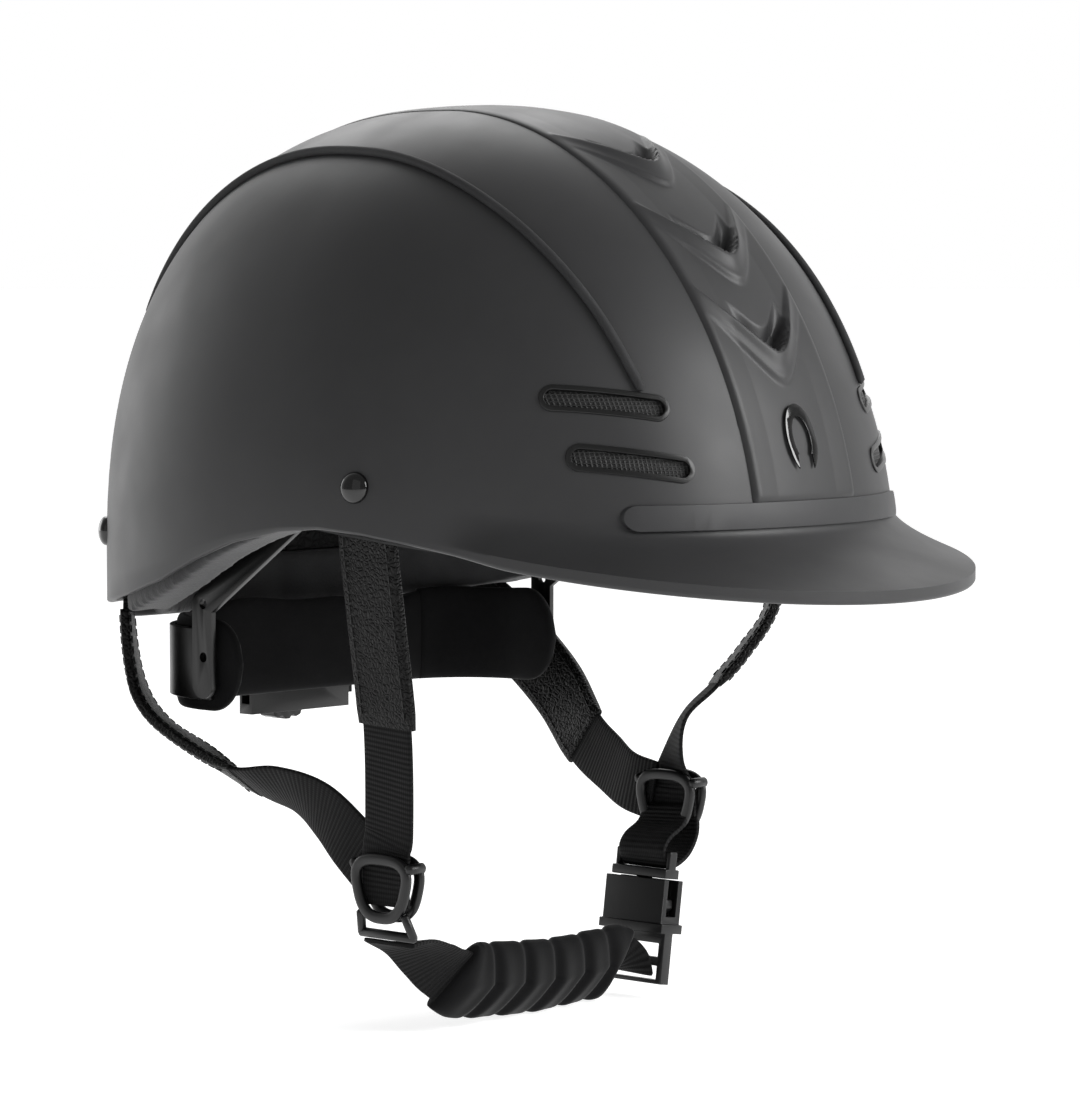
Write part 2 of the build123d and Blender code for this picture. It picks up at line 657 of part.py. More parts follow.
with BuildPart() as buckle_socket:
    add(buckle_block(SOCKET_START, SOCKET_END, SOCKET_WIDTH, SOCKET_THICK))
    add(buckle_block(SOCKET_END - 3, SOCKET_END, SOCKET_WIDTH + 2, SOCKET_THICK + 1))
    add(buckle_block(SOCKET_START - 1, SOCKET_FLOOR, CAVITY_WIDTH, CAVITY_THICK), mode=Mode.SUBTRACT)
    side_window = buckle_block(SOCKET_START - 1, SOCKET_FLOOR - 2, SOCKET_WIDTH + 8, CAVITY_THICK - 1.6)
    add(side_window, mode=Mode.SUBTRACT)
    add(buckle_block(SOCKET_END - 0.5, LADDER_END, SOCKET_WIDTH, LADDER_THICK))
    for place in LADDER_WINDOWS:
        window = buckle_block(place, place + LADDER_WINDOW_HEIGHT, WEB_WIDTH + 1, 2 * SOCKET_THICK)
        add(window, mode=Mode.SUBTRACT)
save("buckle_socket", buckle_socket.part)

with BuildPart() as buckle_webbing:
    for lift in (-1, 1):
        add(buckle_block(-3, window_end - 0.4, WEB_WIDTH, WEB_THICK, lift * (BAR_THICK / 2 + 0.85)))
    add(buckle_block(BAR_WIDTH + 0.2, window_end - 0.4, WEB_WIDTH, BAR_THICK + 1))
    add(strap(BUCKLE_LOOP, WEB_WIDTH, BUCKLE_LOOP_THICK))
save("buckle_webbing", buckle_webbing.part)


# ---------------------------------------------------------------- chin strap

chin_band = strap(CHIN_PATH, WEB_WIDTH, WEB_THICK)
mid_bar_top = LADDER_WINDOWS[0] + LADDER_WINDOW_HEIGHT
with BuildPart() as chin_webbing:
    add(chin_band)
    bar_plane = Plane(HINGE_BAR, x_dir=(1, 0, 0), z_dir=(0, 1, 0))
    with BuildSketch(bar_plane):
        Circle(HINGE_BAR_RADIUS + EYE_CLEAR + WEB_THICK)
    extrude(amount=WEB_WIDTH / 2, both=True)
    with BuildSketch(bar_plane):
        Circle(HINGE_BAR_RADIUS + EYE_CLEAR)
    extrude(amount=WEB_WIDTH, both=True, mode=Mode.SUBTRACT)
    tail_lift = LADDER_THICK / 2 + 0.1 + WEB_THICK / 2
    for lift in (-1, 1):
        first, last = LADDER_WINDOWS[0] + 1, LADDER_WINDOWS[1] + 2
        add(buckle_block(first, last, WEB_WIDTH, WEB_THICK, lift * tail_lift))
    add(buckle_block(mid_bar_top - WEB_THICK - 0.2, mid_bar_top - 0.2, WEB_WIDTH, 2 * tail_lift))
save("chin_webbing", chin_webbing.part)
with BuildPart() as chin_pad:
    add(strap(CHIN_PATH[PAD_SPAN[0]:PAD_SPAN[1]], CHIN_PAD_WIDTH, CHIN_PAD_THICK))
    add(chin_webbing.part, mode=Mode.SUBTRACT)
save("chin_pad", chin_pad.part)


# ---------------------------------------------------------------- cradle

def band_sketch(outset, front):
    """Line of the nape band around the back of the head, moved outwards."""
    half, rear, corner = BAND_HALF_WIDTH + outset, BAND_REAR + outset, BAND_CORNER + outset
    return FilletPolyline((half, front), (half, rear), (-half, rear), (-half, front), radius=corner)


def nape_ring(inner, outer, low, high, front):
    """Upright U-shaped band between two outsets and two heights."""
    with BuildPart() as ring:
        with BuildSketch(Plane.XY.offset(low)):
            with BuildLine():
                band_sketch(outer, front)
                Line((-BAND_HALF_WIDTH - outer, front), (BAND_HALF_WIDTH + outer, front))
            make_face()
            with BuildLine():
                band_sketch(inner, front - 1)
                Line((-BAND_HALF_WIDTH - inner, front - 1), (BAND_HALF_WIDTH + inner, front - 1))
            make_face(mode=Mode.SUBTRACT)
        extrude(amount=high - low)
    return ring.part


save("nape_band", nape_ring(-BAND_THICK / 2, BAND_THICK / 2, BAND_LOW + 4, BAND_HIGH - 4, BAND_FRONT + 8))
pad_outer = -BAND_THICK / 2 - CRADLE_PAD_GAP
save("nape_pad", nape_ring(pad_outer - CRADLE_PAD_THICK, pad_outer, BAND_LOW, BAND_HIGH, BAND_FRONT))

for name, side in (("right", -1), ("left", 1)):
    plane = Plane((side * ARM_INNER, 0, 0), x_dir=(0, 1, 0), z_dir=(1, 0, 0))
    with BuildPart() as arm:
        with BuildSketch(plane):
            for start, end in zip(ARM_LINE, ARM_LINE[1:]):
                with BuildSketch(mode=Mode.PRIVATE) as link:
                    with Locations(start, end):
                        Circle(ARM_WIDTH / 2)
                    make_hull()
                add(link.sketch)
            with Locations((PIN_Y, PIN_Z)):
                Circle(PIN_RADIUS + PIN_CLEAR, mode=Mode.SUBTRACT)
            with Locations(*HEIGHT_HOLES):
                Circle(HEIGHT_HOLE_RADIUS, mode=Mode.SUBTRACT)
        extrude(amount=side * ARM_THICK)
    save(f"cradle_arm_{name}", arm.part)

housing_y = BAND_REAR + BAND_THICK / 2 + 0.1
with BuildPart() as dial_housing:
    with Locations((0, housing_y + HOUSING[1] / 2, DIAL_Z + 2)):
        Box(*HOUSING)
        inside = 2 * (PINION_RADIUS + RACK_HEIGHT) + 6
        Box(HOUSING[0] + 2, HOUSING[1] - 2 * HOUSING_WALL, inside, mode=Mode.SUBTRACT)
    with BuildSketch(Plane((0, housing_y, DIAL_Z), x_dir=(1, 0, 0), z_dir=(0, 1, 0))):
        Circle(DIAL_SHAFT_RADIUS + EYE_CLEAR)
    extrude(amount=HOUSING[1] + 1, mode=Mode.SUBTRACT)
save("dial_housing", dial_housing.part)

with BuildPart() as dial_pinion:
    with BuildSketch(Plane((0, housing_y + 0.2, DIAL_Z), x_dir=(1, 0, 0), z_dir=(0, 1, 0))):
        Circle(DIAL_SHAFT_RADIUS)
    extrude(amount=HOUSING[1] + 0.2)
    with BuildSketch(Plane((0, housing_y + HOUSING_WALL + 0.3, DIAL_Z), x_dir=(1, 0, 0), z_dir=(0, 1, 0))):
        Circle(PINION_RADIUS)
    extrude(amount=RACK_THICK)
save("dial_pinion", dial_pinion.part)

with BuildPart() as size_dial:
    with BuildSketch(Plane((0, housing_y + HOUSING[1] + 0.4, DIAL_Z), x_dir=(1, 0, 0), z_dir=(0, 1, 0))):
        Circle(DIAL_RADIUS)
        with PolarLocations(DIAL_RADIUS + 0.6, DIAL_NOTCHES):
            Circle(1.5, mode=Mode.SUBTRACT)
    extrude(amount=DIAL_THICK)
save("size_dial", size_dial.part)

for name, side in (("right", -1), ("left", 1)):
    with BuildPart() as rack:
        rise = -side * (PINION_RADIUS + RACK_GAP + RACK_HEIGHT / 2)
        depth = housing_y + HOUSING_WALL + 0.3 + RACK_THICK / 2
        with Locations((side * (RACK_LENGTH / 2 - 4), depth, DIAL_Z + rise)):
            Box(RACK_LENGTH, RACK_THICK, RACK_HEIGHT)
    save(f"rack_{name}", rack.part)
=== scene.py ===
"""Riding helmet: moulded shell and peak, vents, liner, harness, chin pad and nape cradle."""

import logging
import math
from dataclasses import dataclass
from enum import Enum
from typing import Callable, Iterable, Sequence

import bmesh
import bpy
import numpy as np
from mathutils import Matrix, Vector


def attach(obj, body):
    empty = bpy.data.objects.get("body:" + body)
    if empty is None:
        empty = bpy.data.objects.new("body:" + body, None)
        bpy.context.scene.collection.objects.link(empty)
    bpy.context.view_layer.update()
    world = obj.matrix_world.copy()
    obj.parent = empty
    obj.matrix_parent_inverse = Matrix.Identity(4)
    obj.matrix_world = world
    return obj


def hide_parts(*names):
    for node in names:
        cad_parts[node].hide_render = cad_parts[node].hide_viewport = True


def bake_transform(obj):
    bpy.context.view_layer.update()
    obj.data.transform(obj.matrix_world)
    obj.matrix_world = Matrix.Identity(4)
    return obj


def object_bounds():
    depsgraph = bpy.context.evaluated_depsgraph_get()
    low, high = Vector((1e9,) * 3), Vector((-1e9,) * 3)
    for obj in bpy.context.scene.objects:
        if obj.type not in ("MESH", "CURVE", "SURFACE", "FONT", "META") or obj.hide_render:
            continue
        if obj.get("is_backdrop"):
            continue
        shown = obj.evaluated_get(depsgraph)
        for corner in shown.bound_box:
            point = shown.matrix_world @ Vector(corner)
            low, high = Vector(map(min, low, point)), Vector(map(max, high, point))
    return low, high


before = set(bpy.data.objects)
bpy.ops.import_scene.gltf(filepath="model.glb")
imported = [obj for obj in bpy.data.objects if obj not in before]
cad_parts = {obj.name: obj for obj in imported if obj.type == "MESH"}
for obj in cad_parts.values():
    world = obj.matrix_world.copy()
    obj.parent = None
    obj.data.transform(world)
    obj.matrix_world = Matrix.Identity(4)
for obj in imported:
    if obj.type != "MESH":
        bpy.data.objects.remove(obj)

LOG = logging.getLogger("helmet")
MM = 0.001
SMALLEST_BEVELLED_ANGLE = math.radians(30)
SHARP_ANGLE = math.radians(35)
SHELL_SHARP_ANGLE = math.radians(40)
FLATTEST_EDGE = math.radians(2)
PAD_FACES = 70000
WEB_WIDTH, WEB_THICK = 20.0, 1.5
ROD_SIDES = 20
ANY_DIRECTION = (0.31, 0.47, 0.83)
Path = list[tuple[tuple[float, float, float], tuple[float, float, float]]]


class Side(Enum):
    """The wearer's right is at -X and the left at +X."""

    RIGHT = -1
    LEFT = 1

    @property
    def word(self) -> str:
        """The side as it stands in node names."""
        return self.name.lower()


# ------------------------------------------------------------------ meshes

def linked(name: str, data: bpy.types.ID) -> bpy.types.Object:
    """Make an object from its data and link it to the scene."""
    item = bpy.data.objects.new(name, data)
    bpy.context.scene.collection.objects.link(item)
    return item


def shade_smooth(piece: bpy.types.Object) -> None:
    """Shade every face of a piece smoothly."""
    piece.data.polygons.foreach_set("use_smooth", [True] * len(piece.data.polygons))


def unit(rows: np.ndarray) -> np.ndarray:
    """Bring the vectors on the last axis to a length of one."""
    return rows / np.linalg.norm(rows, axis=-1, keepdims=True)


def distances(points: np.ndarray) -> np.ndarray:
    """Distance along a line at each of its points."""
    return np.concatenate([[0], np.cumsum(np.linalg.norm(np.diff(points[:, :3], axis=0), axis=1))])


def turns(count: int) -> np.ndarray:
    """Angles of evenly spaced places around a circle."""
    return np.linspace(0, 2 * math.pi, count, endpoint=False)


def new_piece(name: str, points: np.ndarray, faces: Sequence[Sequence[int]],
              smooth: bool = True) -> bpy.types.Object:
    """Make a mesh object at the origin.

    Args:
        name: the piece's name.
        points: vertices in millimetres.
        faces: vertex indices of each face.
        smooth: whether faces shade smoothly.

    Returns:
        The new object, linked to the scene.
    """
    mesh = bpy.data.meshes.new(name)
    mesh.from_pydata((np.asarray(points, float) * MM).tolist(), [], [list(face) for face in faces])
    mesh.polygons.foreach_set("use_smooth", [smooth] * len(mesh.polygons))
    mesh.update()
    return linked(name, mesh)


def grid_faces(rows: int, columns: int, closed: bool) -> list[tuple[int, int, int, int]]:
    """Quads of a grid of vertices laid out row by row.

    Args:
        rows: number of rows.
        columns: number of vertices in a row.
        closed: whether the last column joins the first.

    Returns:
        Vertex indices of each quad.
    """
    last = columns if closed else columns - 1
    return [(r * columns + c, r * columns + (c + 1) % columns, (r + 1) * columns + (c + 1) % columns,
             (r + 1) * columns + c) for r in range(rows - 1) for c in range(last)]


def settle(piece: bpy.types.Object) -> bpy.types.Object:
    """Apply every modifier of a piece and return it as a plain mesh."""
    graph = bpy.context.evaluated_depsgraph_get()
    mesh = bpy.data.meshes.new_from_object(piece.evaluated_get(graph))
    piece.modifiers.clear()
    piece.data = mesh
    return piece


def face_outwards(piece: bpy.types.Object, merge: bool = True) -> bpy.types.Object:
    """Make the faces of a closed piece point outwards.

    Args:
        piece: the piece.
        merge: whether vertices in the same place are merged first.

    Returns:
        The same piece.
    """
    work = bmesh.new()
    work.from_mesh(piece.data)
    if merge:
        bmesh.ops.remove_doubles(work, verts=work.verts, dist=1e-6)
    bmesh.ops.recalc_face_normals(work, faces=work.faces)
    work.to_mesh(piece.data)
    work.free()
    return piece


def copy_of(part: str, name: str) -> bpy.types.Object:
    """Copy a part's mesh to a new object without its materials."""
    piece = linked(name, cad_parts[part].data.copy())
    piece.data.materials.clear()
    return piece


def softened_copy(part: str, name: str, width: float) -> bpy.types.Object:
    """Copy a moulded part and round its edges.

    Args:
        part: the part to copy.
        name: the new piece's name.
        width: edge radius in millimetres.

    Returns:
        The rounded copy, which replaces the part.
    """
    piece = copy_of(part, name)
    work = bmesh.new()
    work.from_mesh(piece.data)
    bmesh.ops.remove_doubles(work, verts=work.verts, dist=2e-5)
    bmesh.ops.dissolve_limit(work, angle_limit=FLATTEST_EDGE, verts=work.verts, edges=work.edges)
    work.to_mesh(piece.data)
    work.free()
    bevel = piece.modifiers.new("edges", "BEVEL")
    bevel.width = width * MM
    bevel.segments = 3
    bevel.limit_method = "ANGLE"
    bevel.angle_limit = SMALLEST_BEVELLED_ANGLE
    settle(piece)
    shade_smooth(piece)
    piece.data.set_sharp_from_angle(angle=SHARP_ANGLE)
    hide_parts(part)
    return piece


def smooth_path(points: Sequence[Sequence[float]], step: float) -> np.ndarray:
    """Catmull-Rom curve through points of any dimension, sampled evenly.

    Args:
        points: the points that the curve passes.
        step: about how far apart the samples are, measured over the first three values.

    Returns:
        The samples, one row each.
    """
    ends = np.asarray(points, float)
    padded = np.vstack([2 * ends[0] - ends[1], ends, 2 * ends[-1] - ends[-2]])
    samples = []
    for index in range(len(ends) - 1):
        p0, p1, p2, p3 = padded[index:index + 4]
        t = np.linspace(0, 1, 24, endpoint=False)[:, None]
        samples.append(0.5 * (2 * p1 + (p2 - p0) * t + (2 * p0 - 5 * p1 + 4 * p2 - p3) * t**2
                              + (3 * p1 - p0 - 3 * p2 + p3) * t**3))
    curve = np.vstack(samples + [ends[-1:]])
    run = distances(curve)
    even = np.linspace(0, run[-1], max(int(run[-1] / step), 2) + 1)
    return np.stack([np.interp(even, run, curve[:, k]) for k in range(curve.shape[1])], 1)


# ------------------------------------------------------------------ materials

def linear(hex_colour: str) -> tuple[float, float, float, float]:
    """Turn an sRGB hex colour to linear RGBA."""
    parts = [int(hex_colour[i:i + 2], 16) / 255 for i in (1, 3, 5)]
    return (*[p / 12.92 if p <= 0.04045 else ((p + 0.055) / 1.055)**2.4 for p in parts], 1.0)


def node(tree: bpy.types.NodeTree, kind: str, links: dict | None = None,
         **settings: object) -> bpy.types.Node:
    """Add a node.

    Args:
        tree: the node tree.
        kind: the node's type name.
        links: input name or index to a value or to an output socket.
        settings: attributes of the node.

    Returns:
        The new node.
    """
    new = tree.nodes.new(kind)
    for name, value in settings.items():
        setattr(new, name, value)
    for name, value in (links or {}).items():
        if isinstance(value, bpy.types.NodeSocket):
            tree.links.new(value, new.inputs[name])
        else:
            new.inputs[name].default_value = value
    return new


def maths(tree: bpy.types.NodeTree, operation: str, *values: object) -> bpy.types.NodeSocket:
    """Result of a Math node on values or sockets."""
    return node(tree, "ShaderNodeMath", dict(enumerate(values)), operation=operation).outputs[0]


def remap(tree: bpy.types.NodeTree, value: bpy.types.NodeSocket, spread: Sequence[float],
          curve: str = "LINEAR") -> bpy.types.NodeSocket:
    """Map a value to another range: spread holds the old low and high, then the new ones."""
    return node(tree, "ShaderNodeMapRange", dict(enumerate((value, *spread))),
                interpolation_type=curve).outputs[0]


@dataclass(frozen=True)
class Finish:
    """A finish: what it is made of and how its surface was made."""

    name: str
    colour: str
    accent: str
    roughness: float
    grain_mm: float
    grain_depth: float
    coat: float = 0.0
    sheen: float = 0.0
    specular: float = 0.5
    pattern: str = "noise"

    def build(self) -> bpy.types.Material:
        """Build the material's nodes."""
        material = bpy.data.materials.new(self.name)
        material.use_nodes = True
        tree = material.node_tree
        shader = tree.nodes["Principled BSDF"]
        place = node(tree, "ShaderNodeTexCoord")
        where = place.outputs["Object"]
        shader.inputs["Specular IOR Level"].default_value = self.specular
        shader.inputs["Coat Weight"].default_value = self.coat
        shader.inputs["Sheen Weight"].default_value = self.sheen
        if self.sheen:
            shader.inputs["Sheen Roughness"].default_value = 0.4
        height, blend = PATTERNS[self.pattern](tree, place, self.grain_mm * MM)
        tone = node(tree, "ShaderNodeMix", {0: blend}, data_type="RGBA")
        tone.inputs[6].default_value = linear(self.colour)
        tone.inputs[7].default_value = linear(self.accent)
        tree.links.new(tone.outputs[2], shader.inputs["Base Color"])
        cloud = node(tree, "ShaderNodeTexNoise", {"Vector": where, "Scale": 1 / 0.03, "Detail": 4.0})
        rough = remap(tree, cloud.outputs["Fac"], (0.3, 0.7, self.roughness - 0.04, self.roughness + 0.05))
        tree.links.new(rough, shader.inputs["Roughness"])
        bump = node(tree, "ShaderNodeBump", {"Height": height, "Strength": self.grain_depth,
                                             "Distance": 0.25 * self.grain_mm * MM})
        tree.links.new(bump.outputs["Normal"], shader.inputs["Normal"])
        return material


def noise_pattern(tree: bpy.types.NodeTree, place: bpy.types.Node, size: float) -> tuple:
    """Fine moulded or flocked grain."""
    where = place.outputs["Object"]
    grain = node(tree, "ShaderNodeTexNoise", {"Vector": where, "Scale": 1 / size, "Detail": 3.0})
    patch = node(tree, "ShaderNodeTexNoise", {"Vector": where, "Scale": 1 / (size * 18)})
    return grain.outputs["Fac"], patch.outputs["Fac"]


def pebble_pattern(tree: bpy.types.NodeTree, place: bpy.types.Node, size: float) -> tuple:
    """Pebbled leather grain: rounded cells parted by creases."""
    bend = node(tree, "ShaderNodeTexNoise", {"Vector": place.outputs["Object"], "Scale": 1 / (size * 2.2)})
    warp = node(tree, "ShaderNodeVectorMath", {0: bend.outputs["Color"], 1: (size * 1.6,) * 3},
                operation="MULTIPLY")
    moved = node(tree, "ShaderNodeVectorMath", {0: place.outputs["Object"], 1: warp.outputs[0]})
    cells = node(tree, "ShaderNodeTexVoronoi", {"Vector": moved.outputs[0], "Scale": 1 / size},
                 feature="DISTANCE_TO_EDGE")
    dome = remap(tree, cells.outputs["Distance"], (0.0, 0.28, 0.0, 1.0), "SMOOTHSTEP")
    return dome, dome


def rib_pattern(tree: bpy.types.NodeTree, place: bpy.types.Node, size: float) -> tuple:
    """Woven webbing: crosswise ribs along the strap's own length, with the warp threads over them."""
    both = node(tree, "ShaderNodeSeparateXYZ", {0: place.outputs["UV"]})
    wave = maths(tree, "SINE", maths(tree, "MULTIPLY", both.outputs["Y"], 2 * math.pi / size))
    cross = maths(tree, "SINE", maths(tree, "MULTIPLY", both.outputs["X"], 4 * math.pi / size))
    total = maths(tree, "ADD", wave, maths(tree, "MULTIPLY", cross, 0.25))
    half = remap(tree, total, (-1.2, 1.2, 0.0, 1.0))
    return half, half


def weave_pattern(tree: bpy.types.NodeTree, place: bpy.types.Node, size: float) -> tuple:
    """Open square weave read in the object's own space."""
    xyz = node(tree, "ShaderNodeSeparateXYZ", {0: place.outputs["Object"]})
    waves = [maths(tree, "SINE", maths(tree, "MULTIPLY", xyz.outputs[axis], 2 * math.pi / size))
             for axis in ("X", "Z")]
    half = remap(tree, maths(tree, "MAXIMUM", *waves), (-0.2, 1.0, 0.0, 1.0))
    return half, half


PATTERNS: dict[str, Callable] = {"noise": noise_pattern, "pebble": pebble_pattern, "rib": rib_pattern,
                                 "weave": weave_pattern}

# ABS shell, moulded with a fine spark-eroded texture: an even dark grey with a broad soft sheen
SHELL_ABS = Finish("moulded_abs", "#2c2c2d", "#303031", 0.46, 0.5, 0.10)
# Thermoplastic rubber trim: a little darker and duller than the shell
TRIM_RUBBER = Finish("trim_rubber", "#2e2e30", "#333334", 0.5, 0.6, 0.12)
# Polished ABS for rivets and badge: near black with sharp highlights
GLOSS_ABS = Finish("gloss_abs", "#060606", "#090909", 0.12, 1.5, 0.02, coat=0.4)
# Injected nylon: satin black of the frames
SATIN_NYLON = Finish("satin_nylon", "#0a0a0a", "#0f0f0f", 0.33, 0.6, 0.10)
# Acetal buckle parts: black, slightly duller
ACETAL = Finish("buckle_acetal", "#09090a", "#0e0e0f", 0.38, 0.7, 0.12)
# Polyester mesh: black threads, coarser than real so that it shows
MESH_POLYESTER = Finish("vent_mesh_polyester", "#030303", "#2c2c2c", 0.6, 1.15, 1.0, pattern="weave")
# Flocked felt over foam: dark grey, no highlight, a bloom at grazing angles
FELT = Finish("flocked_felt", "#2c2c2d", "#454546", 0.95, 0.9, 0.8, sheen=0.3, specular=0.2)
# Pebbled imitation leather: black with shining cell tops and dull creases
LEATHER = Finish("pebbled_leather", "#020202", "#050505", 0.42, 1.5, 0.8, specular=0.2, pattern="pebble")
# Woven polypropylene webbing: black, ribbed across
WEBBING = Finish("ribbed_webbing", "#040404", "#131314", 0.7, 1.6, 0.8, specular=0.2, pattern="rib")
# Napped polyester suede on the chin pad and nape pad
SUEDE = Finish("napped_suede", "#0a0a0b", "#131314", 0.9, 0.5, 0.5, sheen=0.12, specular=0.15)
# Plaited cotton piping
PIPING_CORD = Finish("plaited_piping", "#262627", "#3a3a3b", 0.7, 0.7, 0.7, specular=0.35)
# Expanded polystyrene of the liner, beads pressed together
FOAM = Finish("foam_beads", "#161616", "#1f1f1f", 0.85, 3.0, 0.6, specular=0.2, pattern="pebble")
# Sewing thread: bonded nylon
THREAD = Finish("sewing_thread", "#0d0d0d", "#171717", 0.5, 0.3, 0.3)


class Wardrobe:
    """Builds each finish once and dresses pieces in it."""

    def __init__(self) -> None:
        """Start with no material built."""
        self.made: dict[str, bpy.types.Material] = {}

    def material(self, finish: Finish) -> bpy.types.Material:
        """The finish's material."""
        if finish.name not in self.made:
            self.made[finish.name] = finish.build()
        return self.made[finish.name]

    def dress(self, piece: bpy.types.Object, finish: Finish) -> None:
        """Give a piece one finish all over."""
        material = self.material(finish)
        if piece.material_slots:
            for holder in piece.material_slots:
                holder.material = material
        else:
            piece.data.materials.append(material)


WARDROBE = Wardrobe()


def fit(piece: bpy.types.Object, finish: Finish, body: str,
        replaces: Iterable[str] = ()) -> bpy.types.Object:
    """Dress a piece, hang it on its body and report it.

    Args:
        piece: the piece.
        finish: its finish.
        body: the body that it moves with.
        replaces: parts that it stands for.

    Returns:
        The same piece.
    """
    WARDROBE.dress(piece, finish)
    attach(piece, body)
    for part in replaces:
        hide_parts(part)
    LOG.info("%s: %d faces, %s, on %s", piece.name, len(piece.data.polygons), finish.name, body)
    return piece


# ------------------------------------------------------------------ the shell's form, in millimetres

HALF_WIDTH, FRONT_REACH, REAR_REACH, CROWN = 112.3, 134.8, 133.2, 146.6
PLAN_POWER, FRONT_POWER, REAR_POWER = 2.21, 1.92, 2.5
WALL = 3.2
NUDGE = 0.05
# The peak: levels of its top and its edge, how much it dips, its flare and its round plan
PEAK_TOP, PEAK_EDGE, PEAK_DIP, PEAK_FLARE = 15.0, 2.9, 0.137, 2.2
PEAK_CENTRE, PEAK_RADIUS = 75, 97.0
TOP_ROW_ANGLE = math.radians(89.4)
# Bottom edge of the shell seen from the side: y and z
RIM_LINE = np.array([(-182, -6.9), (-150, -2.5), (-120, 1.6), (-93, 5.4), (-62, 11.6), (-45, 14.4),
                     (-30, 15.7), (-14, 14.5), (7, 10.2), (24, 4.4), (44, -3.4), (68, -9.6),
                     (100, -15.0), (142, -18.5)])


def plan_radius(angle: np.ndarray, inset: float = 0.0) -> np.ndarray:
    """Reach of the widest outline at angles counted from the front."""
    reach = np.where(np.cos(angle) > 0, FRONT_REACH, REAR_REACH) - inset
    across = np.abs(np.sin(angle)) / (HALF_WIDTH - inset)
    return (across**PLAN_POWER + (np.abs(np.cos(angle)) / reach)**PLAN_POWER)**(-1 / PLAN_POWER)


def dome_power(angle: np.ndarray) -> np.ndarray:
    """Fullness of the dome's profile at angles."""
    return PLAN_POWER + (np.where(np.cos(angle) > 0, FRONT_POWER, REAR_POWER) - PLAN_POWER) * np.cos(angle)**2


def dome_radius(angle: np.ndarray, height: np.ndarray, inset: float = 0.0) -> np.ndarray:
    """Horizontal reach of the dome at angles and heights."""
    rise = np.clip(height / (CROWN - inset), 0, 1)
    power = dome_power(angle)
    return plan_radius(angle, inset) * (1 - rise**power)**(1 / power)


def dome_value(points: np.ndarray) -> np.ndarray:
    """Zero on the dome, negative inside it and positive outside."""
    angle = np.arctan2(points[..., 0], -points[..., 1])
    power = dome_power(angle)
    share = np.hypot(points[..., 0], points[..., 1]) / plan_radius(angle)
    return share**power + np.clip(points[..., 2] / CROWN, 0, None)**power - 1


def dome_normal(points: np.ndarray) -> np.ndarray:
    """Outward normals of the dome near points."""
    return unit(np.stack([dome_value(points + NUDGE * axis) - dome_value(points - NUDGE * axis)
                          for axis in np.eye(3)], -1))


def onto_dome(points: np.ndarray, lift: np.ndarray | float = 0.0) -> np.ndarray:
    """Move points along the dome's normal onto it and then out by a lift."""
    for _ in range(6):
        normal = dome_normal(points)
        ahead = dome_value(points + NUDGE * normal)
        here = dome_value(points)
        points = points - normal * (here * NUDGE / (ahead - here))[..., None]
    return points + dome_normal(points) * np.broadcast_to(lift, points.shape[:-1])[..., None]


def peak_overhang(angle: np.ndarray) -> np.ndarray:
    """How far the peak's round plan reaches beyond the shell."""
    reach = PEAK_CENTRE * np.cos(angle) + np.sqrt(PEAK_RADIUS**2 - (PEAK_CENTRE * np.sin(angle))**2)
    gap = reach - plan_radius(angle)
    return 0.5 * (gap + np.sqrt(gap**2 + 4))


def shell_point(angle: np.ndarray, level: np.ndarray, inset: float, drop: float) -> np.ndarray:
    """Points of the shell's outer or inner surface.

    Args:
        angle: angles counted from the front.
        level: section levels at the front of the shell.
        inset: distance inside the outer surface.
        drop: how far the peak's flare is lowered.

    Returns:
        Points, with the last axis holding x, y and z.
    """
    dip = PEAK_DIP * np.minimum(1.0, 1 - level / CROWN)
    flare = np.clip((PEAK_TOP - level - drop) / (PEAK_TOP - PEAK_EDGE), 0, 1)**PEAK_FLARE
    height = level
    for _ in range(14):
        reach = dome_radius(angle, height, inset) + peak_overhang(angle) * flare
        height = level + dip * (FRONT_REACH - reach * np.cos(angle))
    return np.stack([reach * np.sin(angle), -reach * np.cos(angle), height], -1)


def rim_level(angle: np.ndarray, inset: float, drop: float) -> np.ndarray:
    """Levels at which a surface meets the rim line."""
    low, high = np.full_like(angle, -62.0), np.full_like(angle, 14.0)
    for _ in range(30):
        middle = (low + high) / 2
        place = shell_point(angle, middle, inset, drop)
        under = place[..., 2] < np.interp(place[..., 1], RIM_LINE[:, 0], RIM_LINE[:, 1])
        low, high = np.where(under, middle, low), np.where(under, high, middle)
    return high


def surface_rows(angle: np.ndarray, inset: float, drop: float, rows: int) -> np.ndarray:
    """Rows of points from the rim to the crown on one surface of the shell."""
    start = rim_level(angle, inset, drop)[None, :]
    edge, top, crown = PEAK_EDGE - drop, PEAK_TOP - drop, CROWN - inset
    low = start + (edge - start) * np.linspace(0, 1, 7)[:-1, None]
    flare = np.repeat(np.linspace(edge, top, 18)[:-1, None], angle.size, 1)
    turn = np.linspace(math.asin(top / crown), TOP_ROW_ANGLE, rows)
    levels = np.vstack([low, flare, np.repeat((crown * np.sin(turn))[:, None], angle.size, 1)])
    return shell_point(np.broadcast_to(angle, levels.shape), levels, inset, drop)


# ------------------------------------------------------------------ swept pieces

def rounded_section(width: float, thick: float, power: float = 3.2, count: int = 32) -> np.ndarray:
    """Cross-section of a strap or pad as a superellipse: (across, through) pairs."""
    turn = turns(count)
    c, s = np.cos(turn), np.sin(turn)
    size = (np.abs(c)**power + np.abs(s)**power)**(-1 / power)
    return np.stack([c * size * width / 2, s * size * thick / 2], 1)


